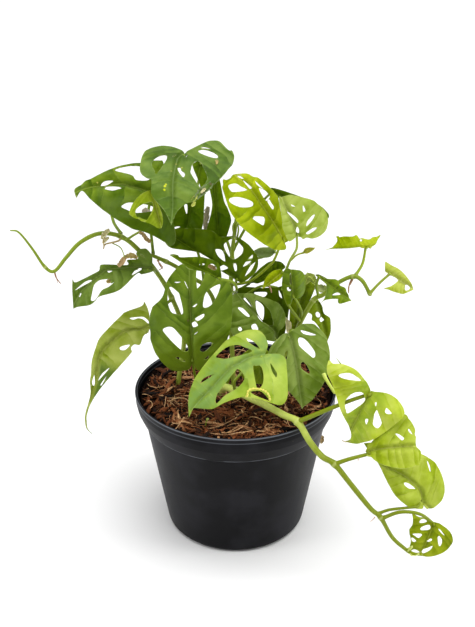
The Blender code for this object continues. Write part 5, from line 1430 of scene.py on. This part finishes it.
class PotSettings(bpy.types.PropertyGroup):
    """Sizes and look of the nursery pot."""

    rim_radius: length_prop("Rim radius", "Outside radius at the lip", POT_HIGH.x)
    height: length_prop("Height", "From the table to the lip", POT_HIGH.z)
    base_radius: length_prop("Base radius", "Outside radius just above the underside", 0.061)
    band_depth: length_prop("Band depth", "Height of the band under the lip", 0.025)
    band_foot: length_prop("Band foot radius", "Outside radius at the band's lower edge", 0.079)
    ledge: length_prop("Ledge", "How far the band stands out from the wall", 0.0018)
    wall: length_prop("Wall", "Thickness of the wall", 0.0014)
    lip: length_prop("Lip", "Thickness of the rolled lip", 0.0022)
    floor: length_prop("Floor", "Thickness of the pot's floor", 0.002)
    colour: colour_prop("Plastic", "Charcoal of the moulded plastic", display(9, 9, 12))
    roughness: FloatProperty(
        name="Roughness", description="How matt the plastic is", default=0.42, min=0.0, max=1.0,
        subtype="FACTOR"
    )


class MixSettings(bpy.types.PropertyGroup):
    """The potting mix: coir and bark chips on a damp crumb, darkened as painted shade."""

    level: length_prop("Level", "Height of the mix above the table", 0.118)
    chips: IntProperty(
        name="Chips", description="How many chips lie on the mix", default=2800, min=0
    )
    strands: IntProperty(name="Strands", description="How many loose fibres", default=1300, min=0)
    chip_length: length_prop("Chip length", "Length of a middling chip", 0.0102)
    # Near black: the crumb's own dark brown, deepened as painted shade for the gaps between the
    # chips
    shade: colour_prop("Shade", "Dark of the damp crumb", display(11, 5, 3))
    tint: colour_prop("Chip", "Red-brown of a chip", display(140, 78, 40))
    fibre_tint: colour_prop("Fibre", "Pale fibres and torn edges", display(242, 196, 142))


class LeafSettings(bpy.types.PropertyGroup):
    """Blades and petioles."""

    thickness: length_prop("Thickness", "Thickness of a blade", 0.0006)
    spacing: length_prop("Spacing", "Distance between a blade's mesh points", 0.0017, 0.0008, 0.02)
    puff: length_prop("Puff", "How far a blade swells between its side veins", 0.0016)
    glow: FloatProperty(
        name="Glow", description="Share of light that passes into the blade", default=0.3, min=0.0,
        max=0.9, subtype="FACTOR"
    )
    upper: colour_prop("Upper leaves", "Plain mid green", display(76, 106, 4))
    front: colour_prop("Front leaf", "Deep mid green", display(80, 108, 6))
    web: colour_prop("Lacy leaves", "Darkest green", display(64, 88, 1))
    dark: colour_prop("Back leaves", "Dark green in the shade", display(66, 94, 1))
    mid: colour_prop("Inner leaves", "Fresh dark green", display(98, 126, 4))
    grey: colour_prop("Grey-green leaves", "Dull green with a cool cast", display(84, 110, 22))
    olive: colour_prop("Drooping leaf", "Pale olive underside", display(130, 148, 20))
    lime: colour_prop("Lime leaves", "Young yellow-green", display(154, 174, 1))
    pale: colour_prop("Pale leaf", "Thin pale lime", display(152, 174, 44))
    front_lime: colour_prop("Front lime leaf", "Lime with a cool middle", display(158, 188, 50))
    trailing: colour_prop("Trailing leaves", "Yellow lime", display(158, 178, 18))


class StemSettings(bpy.types.PropertyGroup):
    """Climbing and trailing stems."""

    olive: colour_prop("Climbing stem", "Olive green of the older stems", display(122, 142, 26))
    lime: colour_prop("Trailing stem", "Pale lime near the pot", display(212, 226, 112))
    aged: colour_prop("Stem end", "Deeper olive along the trailing stem", display(116, 130, 2))
    scar: colour_prop("Leaf scar", "Pale ring at a node", display(188, 196, 120))
    root: colour_prop("Root", "Brown of the aerial roots", display(168, 120, 80))


class StudioSettings(bpy.types.PropertyGroup):
    """Floor and light."""

    floor_colour: colour_prop("Floor", "Pale floor", (0.84, 0.84, 0.84))
    ambient: FloatProperty(
        name="Ambient", description="Light from all round", default=0.37, min=0.0
    )
    sun: FloatProperty(name="Top light", description="Soft light from above", default=3.05, min=0.0)


class PlantSettings(bpy.types.PropertyGroup):
    """Everything that can be changed about the plant."""

    pot: PointerProperty(type=PotSettings)
    mix: PointerProperty(type=MixSettings)
    leaves: PointerProperty(type=LeafSettings)
    stems: PointerProperty(type=StemSettings)
    studio: PointerProperty(type=StudioSettings)


def rounded(profile, radius, steps=3):
    """The profile with each corner turned into a small arc."""
    profile = np.asarray(profile, float)
    out = [profile[0]]
    for before, corner, after in zip(profile, profile[1:], profile[2:]):
        one, two = before - corner, after - corner
        reach = min(radius, 0.4 * np.linalg.norm(one), 0.4 * np.linalg.norm(two))
        start, end = corner + unit(one) * reach, corner + unit(two) * reach
        for t in np.linspace(0, 1, steps + 1):
            out.append(start * (1 - t) ** 2 + corner * 2 * t * (1 - t) + end * t**2)
    out.append(profile[-1])
    return np.array(out)


def turned(profile, sides):
    """Points and faces of a profile turned about the Z axis; its ends lie on the axis."""
    angles = 2 * np.pi * np.arange(sides) / sides
    rings = profile[1:-1]
    points = [(0.0, 0.0, profile[0][1]), (0.0, 0.0, profile[-1][1])]
    for radius, height in rings:
        points += [(radius * math.cos(a), radius * math.sin(a), height) for a in angles]
    faces = []
    for k in range(sides):
        n = (k + 1) % sides
        faces.append((0, 2 + n, 2 + k))
        for i in range(len(rings) - 1):
            low, high = 2 + i * sides, 2 + (i + 1) * sides
            faces.append((low + k, low + n, high + n, high + k))
        last = 2 + (len(rings) - 1) * sides
        faces.append((last + k, last + n, 1))
    return points, faces


def pot_profile(pot):
    """The pot's wall from the middle of its underside, out, up to the lip, and back down inside."""
    rim, top, base = pot.rim_radius / MM, pot.height / MM, pot.base_radius / MM
    foot = top - pot.band_depth / MM
    band, wall, floor, bead = pot.band_foot / MM, pot.wall / MM, pot.floor / MM, pot.lip / MM / 2
    shoulder = band - pot.ledge / MM
    return [
        (0.0, 0.0), (base - 6.0, 0.0), (base - 3.0, 0.8), (base - 0.8, 3.0), (base, 6.0),
        (shoulder, foot - 1.0), (band, foot + 0.6), (band + 1.8, foot + 4.8),
        (rim - 1.8, top - 14.5), (rim - 0.6, top - 8.5), (rim - 0.5, top - 4.0), (rim, top - bead),
        (rim - bead * 0.5, top - bead * 0.15), (rim - bead * 1.2, top),
        (rim - bead * 2, top - bead),
        (rim - 3.0, top - 9.0), (rim - 3.8, top - 15.0), (band - wall, foot + 3.0),
        (shoulder - wall, foot - 2.0), (base - wall - 0.3, floor + 4.0), (base - wall - 4.0, floor),
        (0.0, floor),
    ]


class PLANT_OT_pot(bpy.types.Operator):
    """Turn the nursery pot, with its rolled lip and its band"""

    bl_idname = "plant.pot"
    bl_label = "Nursery pot"

    def execute(self, context):
        pot = context.scene.plant_settings.pot
        shape = Shape()
        shape.add(*turned(rounded(pot_profile(pot), 0.5), POT_SIDES))
        shape.piece("pot_shell", [pot_skin(pot)], "pot", "pot_plastic")
        return {"FINISHED"}


def bed_height(x, y, level):
    """Height of the crumb under the chips at one place."""
    heaped = min(1.0, max(0.0, (math.hypot(x, y) - 54.0) / 26.0)) ** 2 * 6.0
    rough = noise.fractal(Vector((x * 0.07, y * 0.07, 1.7)), 0.7, 2.0, 4) * 2.6
    return level - 2.0 + heaped + rough


class PLANT_OT_mix(bpy.types.Operator):
    """Fill the pot with coir and bark chips"""

    bl_idname = "plant.potting_mix"
    bl_label = "Potting mix"

    def execute(self, context):
        settings = context.scene.plant_settings.mix
        level = settings.level / MM
        self.make_bed(settings, level)
        dice = np.random.default_rng(MIX_SEED)
        skin = chip_skin(settings)
        self.make_chips(settings, level, dice, skin)
        self.make_strands(settings, level, dice, skin)
        return {"FINISHED"}

    def make_bed(self, settings, level):
        """The body of the mix, which fills the pot up to a rough top."""
        edge = MIX_HIGH.x / MM - 0.3
        profile = [(0.0, 3.0), (56.0, 3.0), (58.0, 9.0), (74.6, 99.0), (76.5, 108.0),
                   (edge, level - 3.5)]
        profile += [(edge * (1 - k / BED_RINGS), level) for k in range(BED_RINGS)]
        profile.append((0.0, level))
        points, faces = turned(np.array(profile), BED_SIDES)
        points = np.array(points)
        for p in points:
            if p[2] >= level - 0.1:
                p[2] = bed_height(p[0], p[1], level)
        shape = Shape()
        shape.add(points, faces)
        shape.piece("mix_bed", [mix_bed_skin(settings)], "potting_mix", "coir_mix")

    def lie(self, dice, level, spread, high):
        """A random place on the mix, which way a piece there points and how far it is raised."""
        reach = spread * math.sqrt(dice.random())
        turn = dice.random() * 2 * math.pi
        x, y = reach * math.cos(turn), reach * math.sin(turn)
        heading = dice.random() * 2 * math.pi
        lean = dice.normal(0.0, 0.3)
        raised = abs(dice.normal(0.0, high))
        z = bed_height(x, y, level) + raised + 0.4
        level_ahead = np.array([math.cos(heading), math.sin(heading), 0.0]) * math.cos(lean)
        return np.array([x, y, z]), level_ahead + np.array([0.0, 0.0, math.sin(lean)]), raised

    def make_chips(self, settings, level, dice, skin):
        """Flat, ragged, slightly bent and twisted chips; a low one is darker, as painted shade."""
        shape = Shape()
        sides, rings = CHIP_SIDES, CHIP_RINGS
        angles = 2 * np.pi * np.arange(sides) / sides
        faces = caps(rings, sides) + bands(rings, sides)
        edge = [(math.cos(a), 0.0) for a in angles] * rings
        for _ in range(settings.chips):
            size = settings.chip_length / MM * float(np.clip(dice.lognormal(-0.1, 0.45), 0.35, 2.0))
            middle, ahead, raised = self.lie(dice, level, CHIP_SPREAD - size * 0.35, 2.2)
            wide = size * dice.uniform(0.10, 0.27) + 0.4
            thick = wide * dice.uniform(0.25, 0.6)
            side = unit(np.cross(ahead, (dice.normal(0, 0.6), dice.normal(0, 0.6), 1.0)))
            up = np.cross(side, ahead)
            bend = dice.normal(0.0, 0.12) * size
            lift = dice.normal(0.0, 0.05) * size
            # Painted shade: a chip that lies low among the others gets a darker brown
            own = float(dice.beta(1.1, 1.5)) * min(1.0, 0.12 + raised / 2.8)
            taper = (dice.uniform(0.1, 0.7), dice.uniform(0.85, 1.1), 1.0, dice.uniform(0.8, 1.1),
                     dice.uniform(0.1, 0.6))
            rough = dice.uniform(0.75, 1.25, (rings, sides))
            twist = dice.normal(0.0, 0.5)
            points, veins = [], []
            for k, at in enumerate(np.linspace(-0.5, 0.5, rings)):
                centre = middle + ahead * at * size + side * bend * (at * at * 4 - 0.5)
                centre = centre + up * lift * at * at * 4
                spin = angles + twist * at
                ring = np.outer(np.cos(spin) * wide / 2, side)
                ring = ring + np.outer(np.sin(spin) * thick / 2, up)
                points.append(centre + ring * (rough[k] * taper[k])[:, None])
                veins += [(own, at)] * sides
            shape.add(np.concatenate(points), faces, 0, veins, edge)
        shape.piece("mix_chips", [skin], slot="coir_mix")

    def make_strands(self, settings, level, dice, skin):
        """Thin, wandering fibres."""
        shape = Shape()
        at = np.linspace(-0.5, 0.5, 9)[:, None]
        for _ in range(settings.strands):
            size = float(dice.uniform(5.0, 19.0))
            middle, ahead, _ = self.lie(dice, level, STRAND_SPREAD - size * 0.45, 2.6)
            side = unit(np.cross(ahead, (0, 0, 1.0)))
            up = np.cross(side, ahead)
            lift = abs(dice.normal(0.0, 0.12)) * size
            turn = dice.normal(0.0, 1.7) * at + dice.normal(0.0, 0.5) * at**2
            swerve = ahead * np.sin(turn * 1.2 + at) + side * (np.cos(turn * 1.2) - 0.8)
            path = middle + swerve * size * 0.55
            path += ahead * at * size * 0.45 + up * (lift * (1 - at**2 * 4)) * 0.6
            thick = dice.uniform(0.12, 0.34)
            first = shape.count
            add_tube(shape, path, np.full(len(at), thick), STRAND_SIDES, round_end=False)
            own = float(np.clip(dice.normal(0.72, 0.3), 0.1, 1.1))
            shape.veins[-1] = np.tile((own, 0.0), (shape.count - first, 1))
        shape.piece("mix_strands", [skin], slot="coir_mix")


class PLANT_OT_vines(bpy.types.Operator):
    """Grow the climbing and trailing stems with their nodes and aerial roots"""

    bl_idname = "plant.vines"
    bl_label = "Vines"

    def execute(self, context):
        stems = context.scene.plant_settings.stems
        olive, lime, aged = tuple(stems.olive), tuple(stems.lime), tuple(stems.aged)
        scar, root = tuple(stems.scar), tuple(stems.root)
        skins = {
            "vine_olive": stem_skin("stem_olive", blend(olive, lime, 0.25), olive, scar, 180.0),
            "vine_lime": stem_skin("stem_lime", lime, aged, scar, 70.0, 80.0),
        }
        root_skin = dry_tissue("aerial_root", root, blend(root, BLACK, 0.5), 0.1)
        for vine in VINES:
            shape = Shape()
            vine.add(shape)
            shape.piece(vine.name + "_stem", [skins[vine.kind], root_skin], vine.name, vine.kind)
        return {"FINISHED"}


def spots(name, drawn):
    """Blemishes drawn at points of the picture, placed along the blade and off its midrib."""
    leaf = next(leaf for leaf in LEAVES if leaf.name == name)
    found = []
    for x, y, radius, colour in drawn:
        s, r = leaf.shares([(x, y)], 3)[0]
        found.append((s, float(leaf.beside(s, r)) * leaf.length, radius, colour))
    return found


def blade_finishes(leaves, stems):
    """Upper face, underside and petiole of each kind of blade."""
    vein = display(196, 214, 132)
    stem, aged, scar = tuple(stems.olive), tuple(stems.aged), tuple(stems.scar)
    kinds = {}

    # rim is the colour of the painted highlight along a blade's cut edges
    def kind(name, tint, light, vein_tint=vein, back=None, rim=display(206, 214, 140),
             glow=leaves.glow, petiole=None, **more):
        passing = blend(light, display(170, 196, 10), 0.6)
        back = back or blend(tint, display(160, 178, 60), 0.45)
        kinds[name] = [
            leaf_top("blade_" + name, tint, light, vein_tint, rim, glow=glow, glow_tint=passing,
                     **more),
            leaf_back("back_" + name, back, blend(back, display(196, 208, 110), 0.35),
                      blend(back, vein_tint, 0.5), glow=glow, glow_tint=passing),
            stem_skin("petiole_" + name, petiole or blend(stem, tint, 0.3),
                      petiole or blend(stem, light, 0.3), scar, 60.0),
        ]

    yellow, brown, bright = display(214, 206, 96), display(112, 92, 60), display(226, 232, 40)
    kind("crown", display(80, 112, 26), display(130, 156, 64), display(146, 174, 96), gloss=0.36,
         sheen=0.22,
         blemishes=spots("leaf_crown", [
             (216.5, 162, 1.0, brown), (165, 187, 1.2, bright), (164.5, 190.5, 1.1, bright),
             (166, 185, 0.9, bright), (176, 163, 0.8, yellow), (171, 171, 0.6, yellow),
             (182, 168, 0.7, yellow), (196, 199, 0.9, yellow), (210.5, 184.5, 1.3, brown)]))
    # The upper left leaf's lower half darkens to deep green: painted shade under the crown
    kind("upper", tuple(leaves.upper), display(136, 160, 38), display(170, 190, 84), sheen=0.22,
         blemishes=spots("leaf_left_upper", [(97.5, 182.5, 0.8, yellow), (112, 168, 0.9, yellow)]),
         far_half=(display(70, 96, 4), 4.0, 20.0, -2.0, -1.0))
    # The front leaf's part near its base is a lighter green: painted light
    kind("front", tuple(leaves.front), display(124, 150, 40), display(156, 176, 74), sheen=0.25,
         blemishes=spots("leaf_front_left", [(188, 320, 1.0, brown)]),
         far_half=(display(124, 148, 34), -300.0, -299.0, 0.5, 0.1))
    kind("web", tuple(leaves.web), display(98, 122, 8), display(118, 142, 30), glow=0.2, sheen=0.08)
    kind("dark", tuple(leaves.dark), display(96, 122, 8), display(112, 136, 34), glow=0.2,
         sheen=0.08)
    kind("mid", tuple(leaves.mid), display(146, 168, 34), display(160, 180, 60), sheen=0.3)
    kind("mid_light", display(116, 142, 4), display(164, 184, 34), display(172, 190, 60), sheen=0.3)
    # Two copies of the grey-green: a darker one for the left middle leaf, and a lighter one as
    # painted light for the centre and front right leaves, which lie in shade
    kind("grey", tuple(leaves.grey), display(124, 148, 60), display(146, 166, 88), sheen=0.3)
    kind("grey_light", display(104, 130, 30), display(154, 174, 86), display(166, 184, 104),
         sheen=0.3)
    # A pale grey-green, lightened as painted light for the slim back leaf, which faces down into
    # shade
    kind("grey_small", display(124, 148, 66), display(166, 184, 130), display(170, 188, 130),
         sheen=0.4)
    kind("olive", tuple(leaves.olive), display(176, 186, 92), display(182, 192, 84), gloss=0.5,
         back=display(70, 104, 40), far_half=(display(66, 98, 34), 1.0, 4.0, 0.38, 0.5))
    kind("shade_olive", display(96, 118, 4), display(140, 158, 22), display(150, 168, 44),
         sheen=0.3)
    kind("lime", tuple(leaves.lime), display(200, 212, 40), display(210, 216, 90), sheen=0.08,
         gloss=0.34)
    kind("young", display(138, 164, 14), display(192, 206, 62), display(212, 220, 104))
    kind("pale", tuple(leaves.pale), display(192, 208, 100), display(208, 220, 124), sheen=0.25)
    kind("pale_yellow", display(176, 188, 56), display(214, 220, 116), display(222, 226, 142))
    kind("front_lime", tuple(leaves.front_lime), display(200, 218, 96), display(176, 204, 118),
         sheen=0.3, middle=display(130, 166, 84), rim=display(220, 226, 90))
    kind("trailing", tuple(leaves.trailing), display(202, 214, 88), display(212, 220, 108),
         sheen=0.25, petiole=aged)
    kind("trailing_first", display(180, 198, 40), display(218, 226, 108), display(200, 212, 96),
         sheen=0.25, middle=display(136, 164, 36), rim=display(226, 230, 110), petiole=aged)
    kind("trailing_end", display(126, 142, 2), display(172, 184, 36), display(190, 200, 74),
         petiole=aged)
    kind("bud", display(168, 166, 30), display(208, 204, 84), display(214, 214, 110))
    # The sheath's straw, pushed close to white: painted light, as the sheath lies in shade
    straw = dry_tissue("sheath_straw", display(255, 252, 214), display(244, 228, 150), 0.1)
    kinds["straw"] = [straw] * 3
    return kinds


class PLANT_OT_leaves(bpy.types.Operator):
    """Grow every leaf on its petiole"""

    bl_idname = "plant.leaves"
    bl_label = "Leaves"

    def execute(self, context):
        plant = context.scene.plant_settings
        finishes = blade_finishes(plant.leaves, plant.stems)
        for leaf in LEAVES:
            shape = Shape()
            leaf.add_blade(shape, plant.leaves)
            leaf.add_midrib(shape, plant.leaves)
            leaf.add_petiole(shape)
            shape.piece(leaf.name + "_blade", finishes[leaf.finish], leaf.name, leaf.kind)
        return {"FINISHED"}


# Thin pieces: finish, points along it as the picture shows them with their depths, radius at its
# start and end
TWIGS = [
    ("straw", [(121, 238.5, -3), (118, 241, -4), (110, 243, -4.5), (105, 244.5, -5),
               (103.5, 248.5, -6)], 0.9, 0.5),
    ("straw", [(104, 246, -6), (103, 241, -6), (105, 237, -6)], 0.5, 0.35),
    ("green", [(112, 243, -4), (119, 246.5, -5), (122, 250, -6.5), (124.5, 257, -8)], 0.5, 0.4),
    ("green", [(121, 238.5, -3), (128, 238.5, -1), (133, 235.5, 1.5), (140, 231.5, 4),
               (146, 227, 6)], 1.1, 0.9),
    ("green", [(235.5, 237.5, 20), (233, 230, 19.5), (233.5, 224, 18.5), (237.5, 220, 18)],
     0.8, 0.5),
    ("green", [(237, 238.5, 20), (238.5, 230, 19.5), (238, 224, 18.5), (240.5, 225.5, 18)],
     0.8, 0.5),
    ("root", [(157, 260, -2), (161, 265, -2), (162.5, 267.5, -2), (159, 270, -2)], 0.6, 0.35),
    ("root", [(54, 271, -11), (56, 275.5, -11), (57.5, 283, -11)], 0.4, 0.2),
    ("root", [(353, 279, 0), (350.5, 284, -1), (348.5, 287, -2), (348.5, 292, -3)], 0.6, 0.35),
    ("root", [(375, 517, -105), (373, 519.5, -106.5), (370.5, 521.5, -108)], 0.4, 0.2),
    ("root", [(358.5, 458, -99.5), (358, 461.5, -102)], 0.3, 0.2),
    ("straw", [(342, 440.5, -86), (346, 442, -87), (350.5, 441.5, -88)], 0.4, 0.2),
    ("green", [(341, 364, -78), (338.5, 361, -77), (336.5, 358.5, -76)], 0.45, 0.2),
    ("root", [(269.5, 286.5, 7), (271, 290, 5), (271.5, 292.5, 4)], 0.8, 0.5),
    ("green", [(205.5, 432, -52), (205.5, 426.5, -52), (206, 422.5, -52), (207, 420, -52)],
     0.6, 0.4),
    ("sprout", [(323.5, 373.5, -43), (325.5, 378, -44), (329, 384, -47), (334.5, 392.5, -50)],
     1.5, 1.2),
]

# Curled strips: finish, points along it in the same way, width, curl
FLAKES = [
    ("pale", [(101.5, 239, -6), (105, 234, -4.5), (109.5, 229.5, -3)], 4.0, 0.8),
    ("pale", [(103, 243.5, -6), (105.5, 240, -6), (109, 237.5, -5.5)], 3.0, 0.6),
    ("husk", [(124, 257.5, -8), (131, 256, -6), (137.5, 258, -4)], 4.2, 0.9),
    ("brown", [(118, 266.5, -9), (122.5, 262, -8.5), (125.5, 256.5, -8)], 4.4, 0.7),
    ("brown", [(139, 232, 2), (143.5, 235, 2.5), (147, 239.5, 3.5), (150.5, 242.5, 4)], 3.4, 0.8),
    ("husk", [(106.5, 282.5, -9), (114, 278.5, -7), (120.5, 272.5, -6)], 5.0, 0.8),
    ("brown", [(206.5, 265, -3), (212, 267.5, -3), (217, 271.5, -3)], 4.0, 0.6),
    ("dead", [(208.5, 206.5, 20), (206.5, 214, 18), (205.5, 222, 15.5), (206, 231.5, 13)],
     4.6, 0.5),
    ("dead", [(143.5, 208.5, 8), (147.5, 215, 7.5), (148.5, 221.5, 7)], 7.0, 0.4),
    ("fresh", [(304.5, 280, 14), (308.5, 275.5, 13.5), (313, 277.5, 12.5), (316, 283.5, 12)],
     4.2, 1.0),
    ("fresh", [(305.5, 284, 12.5), (310, 279.5, 12.5), (314, 282, 11.5), (317, 286, 11)], 4.0, 0.9),
    # A dark stub of crumpled leaf
    ("shade", [(314.5, 286.5, 11), (321, 288.5, 10), (328, 289, 8.5)], 6.6, 0.4),
    # A dark sheet behind the rolled young leaf's hole: painted shade
    ("shade", [(292, 273.5, -11), (292.5, 282, -12), (292, 289.5, -12.5)], 7.0, 0.3),
    ("brown", [(322, 435.5, -10), (322, 439.5, -10), (321, 443.5, -10)], 3.4, 0.5),
    ("sprout", [(406.5, 551.5, -110.5), (413, 554.5, -111.5), (419.5, 554, -112)], 2.4, 0.9),
    ("sprout", [(405, 550, -110), (409, 549, -110.5), (412.5, 546, -111)], 2.6, 0.9),
    ("sprout", [(206.5, 421.5, -52), (207.5, 419, -52), (209, 419, -52.5)], 1.6, 0.8),
]

# Strips and rims that follow a blade: leaf, finish, points of the picture, width or radius, and how
# far above the blade
MARGINS = [
    ("leaf_crown", "fold", [(212, 183), (208.5, 187), (204, 190.5), (199, 195), (196.5, 199)],
     5.4, 0.2),
    ("leaf_crown", "pale", [(205.5, 189), (203.5, 191), (201, 193.5)], 2.2, 0.8),
    ("leaf_crown", "yellowed", [(196.5, 196), (194.5, 199), (192, 201)], 3.2, 0.5),
    ("leaf_crown", "yellowed", [(195, 202), (193.5, 205), (191.5, 206.5)], 2.4, 0.5),
    ("leaf_crown", "husk", [(215.5, 160.5), (217, 162), (216.5, 164.5)], 2.0, 0.3),
]
RIMS = [
    ("leaf_front_lime", "rim",
     [(245.5, 396.5), (247.5, 396), (248, 391.5), (252, 389), (258, 389), (263, 390),
      (267, 392.5), (269.5, 397), (270, 401)], 0.85, 0.3),
]

# Dried finishes: the material's name, its light and dark display colours, how much light passes,
# and its slot
DRIED = {
    "straw": ("dry_straw", (206, 186, 130), (140, 116, 66), 0.2, "sheath_straw"),
    "pale": ("dry_pale", (228, 222, 178), (184, 172, 110), 0.2, "sheath_straw"),
    "husk": ("dry_husk", (214, 198, 128), (166, 138, 70), 0.2, "sheath_straw"),
    "brown": ("dry_brown", (212, 186, 134), (160, 128, 76), 0.2, "sheath_straw"),
    "dead": ("dry_grey", (216, 206, 190), (164, 148, 122), 0.2, "sheath_straw"),
    "fold": ("worn_fold", (140, 158, 104), (104, 126, 70), 0.3, "leaf_mid_green"),
    "yellowed": ("yellowed", (214, 218, 120), (176, 186, 70), 0.3, "leaf_lime"),
    "rim": ("yellow_rim", (244, 238, 124), (212, 206, 70), 0.2, "leaf_lime"),
}


class PLANT_OT_bits(bpy.types.Operator):
    """Add the small living and dried bits: twigs, husks, root tips, sprouts and worn margins"""

    bl_idname = "plant.bits"
    bl_label = "Small bits"

    def execute(self, context):
        stems = context.scene.plant_settings.stems
        olive, lime, scar = tuple(stems.olive), tuple(stems.lime), tuple(stems.scar)
        root = tuple(stems.root)
        finishes = {
            name: (dry_tissue(label, display(*tint), display(*dark), glow), slot)
            for name, (label, tint, dark, glow, slot) in DRIED.items()
        }
        root_tip = dry_tissue("root_tip", blend(root, (1, 0.8, 0.6), 0.3), root)
        finishes["root"] = (root_tip, "vine_olive")
        for name, label, foot, end, reach, slot in (
            ("green", "twig_green", olive, blend(olive, lime, 0.4), 30.0, "vine_olive"),
            ("fresh", "fresh_fold", display(150, 172, 10), display(206, 216, 60), 4.0, "leaf_lime"),
            # Dark green: a leaf stub's own colour, and painted shade behind the rolled leaf's hole
            ("shade", "shade_fold", display(58, 82, 4), display(80, 106, 8), 6.0, "leaf_dark"),
            ("sprout", "sprout", lime, display(190, 204, 90), 6.0, "vine_lime"),
        ):
            finishes[name] = (stem_skin(label, foot, end, scar, reach), slot)
        shapes = {name: Shape() for name in finishes}
        for name, path, start, end in TWIGS:
            path = curve([shown_at(*point) for point in path], LINE_STEPS)
            add_tube(shapes[name], path, np.linspace(start, end, len(path)), THIN_SIDES)
        for number, (name, path, width, curl) in enumerate(FLAKES):
            path = [shown_at(*point) for point in path]
            add_flake(shapes[name], path, width, curl, number * 3.1)
        leaves = {leaf.name: leaf for leaf in LEAVES}
        for number, (leaf, name, drawn, width, above) in enumerate(MARGINS):
            path = leaves[leaf].line_above(drawn, above)
            add_flake(shapes[name], path, width, 0.7, 50.0 + number)
        for leaf, name, drawn, radius, above in RIMS:
            path = curve(leaves[leaf].line_above(drawn, above), LINE_STEPS)
            radii = radius * (1 + 0.3 * np.sin(np.arange(len(path)) * 1.7))
            radii[[0, -1]] *= 0.4
            add_tube(shapes[name], path, radii, THIN_SIDES)
        for name, shape in shapes.items():
            skin, slot = finishes[name]
            shape.piece("bits_" + name, [skin], slot=slot)
        return {"FINISHED"}


def area_light(name, place, aim, size, power):
    """A rectangular soft light that faces the place it is aimed at."""
    lamp = bpy.data.lights.new(name, "AREA")
    lamp.shape = "RECTANGLE"
    lamp.size, lamp.size_y = size
    lamp.energy = power
    made = bpy.data.objects.new(name, lamp)
    made.location = place
    made.rotation_euler = (Vector(aim) - Vector(place)).to_track_quat("-Z", "Y").to_euler()
    bpy.context.scene.collection.objects.link(made)


class PLANT_OT_studio(bpy.types.Operator):
    """Lay the pale floor, hang the soft lights and set the camera"""

    bl_idname = "plant.studio"
    bl_label = "Studio"

    def execute(self, context):
        settings = context.scene.plant_settings.studio
        scene = context.scene
        mesh = bpy.data.meshes.new("studio_floor")
        around = ((-1, -1), (1, -1), (1, 1), (-1, 1))
        corners = [(x * FLOOR_REACH, y * FLOOR_REACH, 0) for x, y in around]
        mesh.from_pydata(corners, [], [(0, 1, 2, 3)])
        mesh.materials.append(floor_skin(settings))
        floor = bpy.data.objects.new("studio_floor", mesh)
        scene.collection.objects.link(floor)

        world = bpy.data.worlds.new("studio_air")
        world.use_nodes = True
        air = world.node_tree.nodes["Background"]
        air.inputs["Color"].default_value = (1.0, 1.0, 1.0, 1.0)
        air.inputs["Strength"].default_value = settings.ambient
        scene.world = world

        sun = bpy.data.lights.new("top_light", "SUN")
        sun.energy = settings.sun
        sun.angle = math.radians(SUN_SPREAD)
        top = bpy.data.objects.new("top_light", sun)
        top.rotation_euler = (-Vector(SUN_FROM)).to_track_quat("-Z", "Y").to_euler()
        scene.collection.objects.link(top)
        area_light("left_panel", (-0.9, -0.35, 0.45), PANEL_AIM, PANEL_SIZE, 4.0)
        area_light("right_panel", (0.95, -0.25, 0.45), PANEL_AIM, PANEL_SIZE, 5.0)

        camera = bpy.data.cameras.new("camera")
        camera.lens = CAMERA_LENS
        camera.sensor_width = SENSOR_WIDTH
        made = bpy.data.objects.new("camera", camera)
        made.location = CAMERA_PLACE
        made.rotation_euler = (math.radians(90 - CAMERA_PITCH), 0.0, 0.0)
        scene.collection.objects.link(made)
        scene.camera = made
        scene.view_settings.view_transform = "Standard"
        scene.view_settings.look = "None"
        return {"FINISHED"}


class PLANT_PT_sidebar(bpy.types.Panel):
    """Lists the plant's pieces"""

    bl_label = "Potted vine"
    bl_idname = "PLANT_PT_sidebar"
    bl_space_type = "VIEW_3D"
    bl_region_type = "UI"
    bl_category = "Plant"

    def draw(self, context):
        plant = context.scene.plant_settings
        for label, settings, operators in (
            ("Pot", plant.pot, ("plant.pot",)),
            ("Mix", plant.mix, ("plant.potting_mix",)),
            ("Stems", plant.stems, ("plant.vines",)),
            ("Leaves", plant.leaves, ("plant.leaves", "plant.bits")),
            ("Studio", plant.studio, ("plant.studio",)),
        ):
            box = self.layout.box()
            box.label(text=label)
            for name in settings.__annotations__:
                box.prop(settings, name)
            for operator in operators:
                box.operator(operator)


CLASSES = (
    PotSettings, MixSettings, LeafSettings, StemSettings, StudioSettings, PlantSettings,
    PLANT_OT_pot, PLANT_OT_mix, PLANT_OT_vines, PLANT_OT_leaves, PLANT_OT_bits, PLANT_OT_studio,
    PLANT_PT_sidebar,
)


def register():
    for made in CLASSES:
        bpy.utils.register_class(made)
    bpy.types.Scene.plant_settings = PointerProperty(type=PlantSettings)


def unregister():
    del bpy.types.Scene.plant_settings
    for made in reversed(CLASSES):
        bpy.utils.unregister_class(made)


def main():
    register()
    bpy.ops.plant.studio()
    bpy.ops.plant.pot()
    bpy.ops.plant.potting_mix()
    bpy.ops.plant.vines()
    bpy.ops.plant.leaves()
    bpy.ops.plant.bits()


if __name__ == "__main__":
    main()
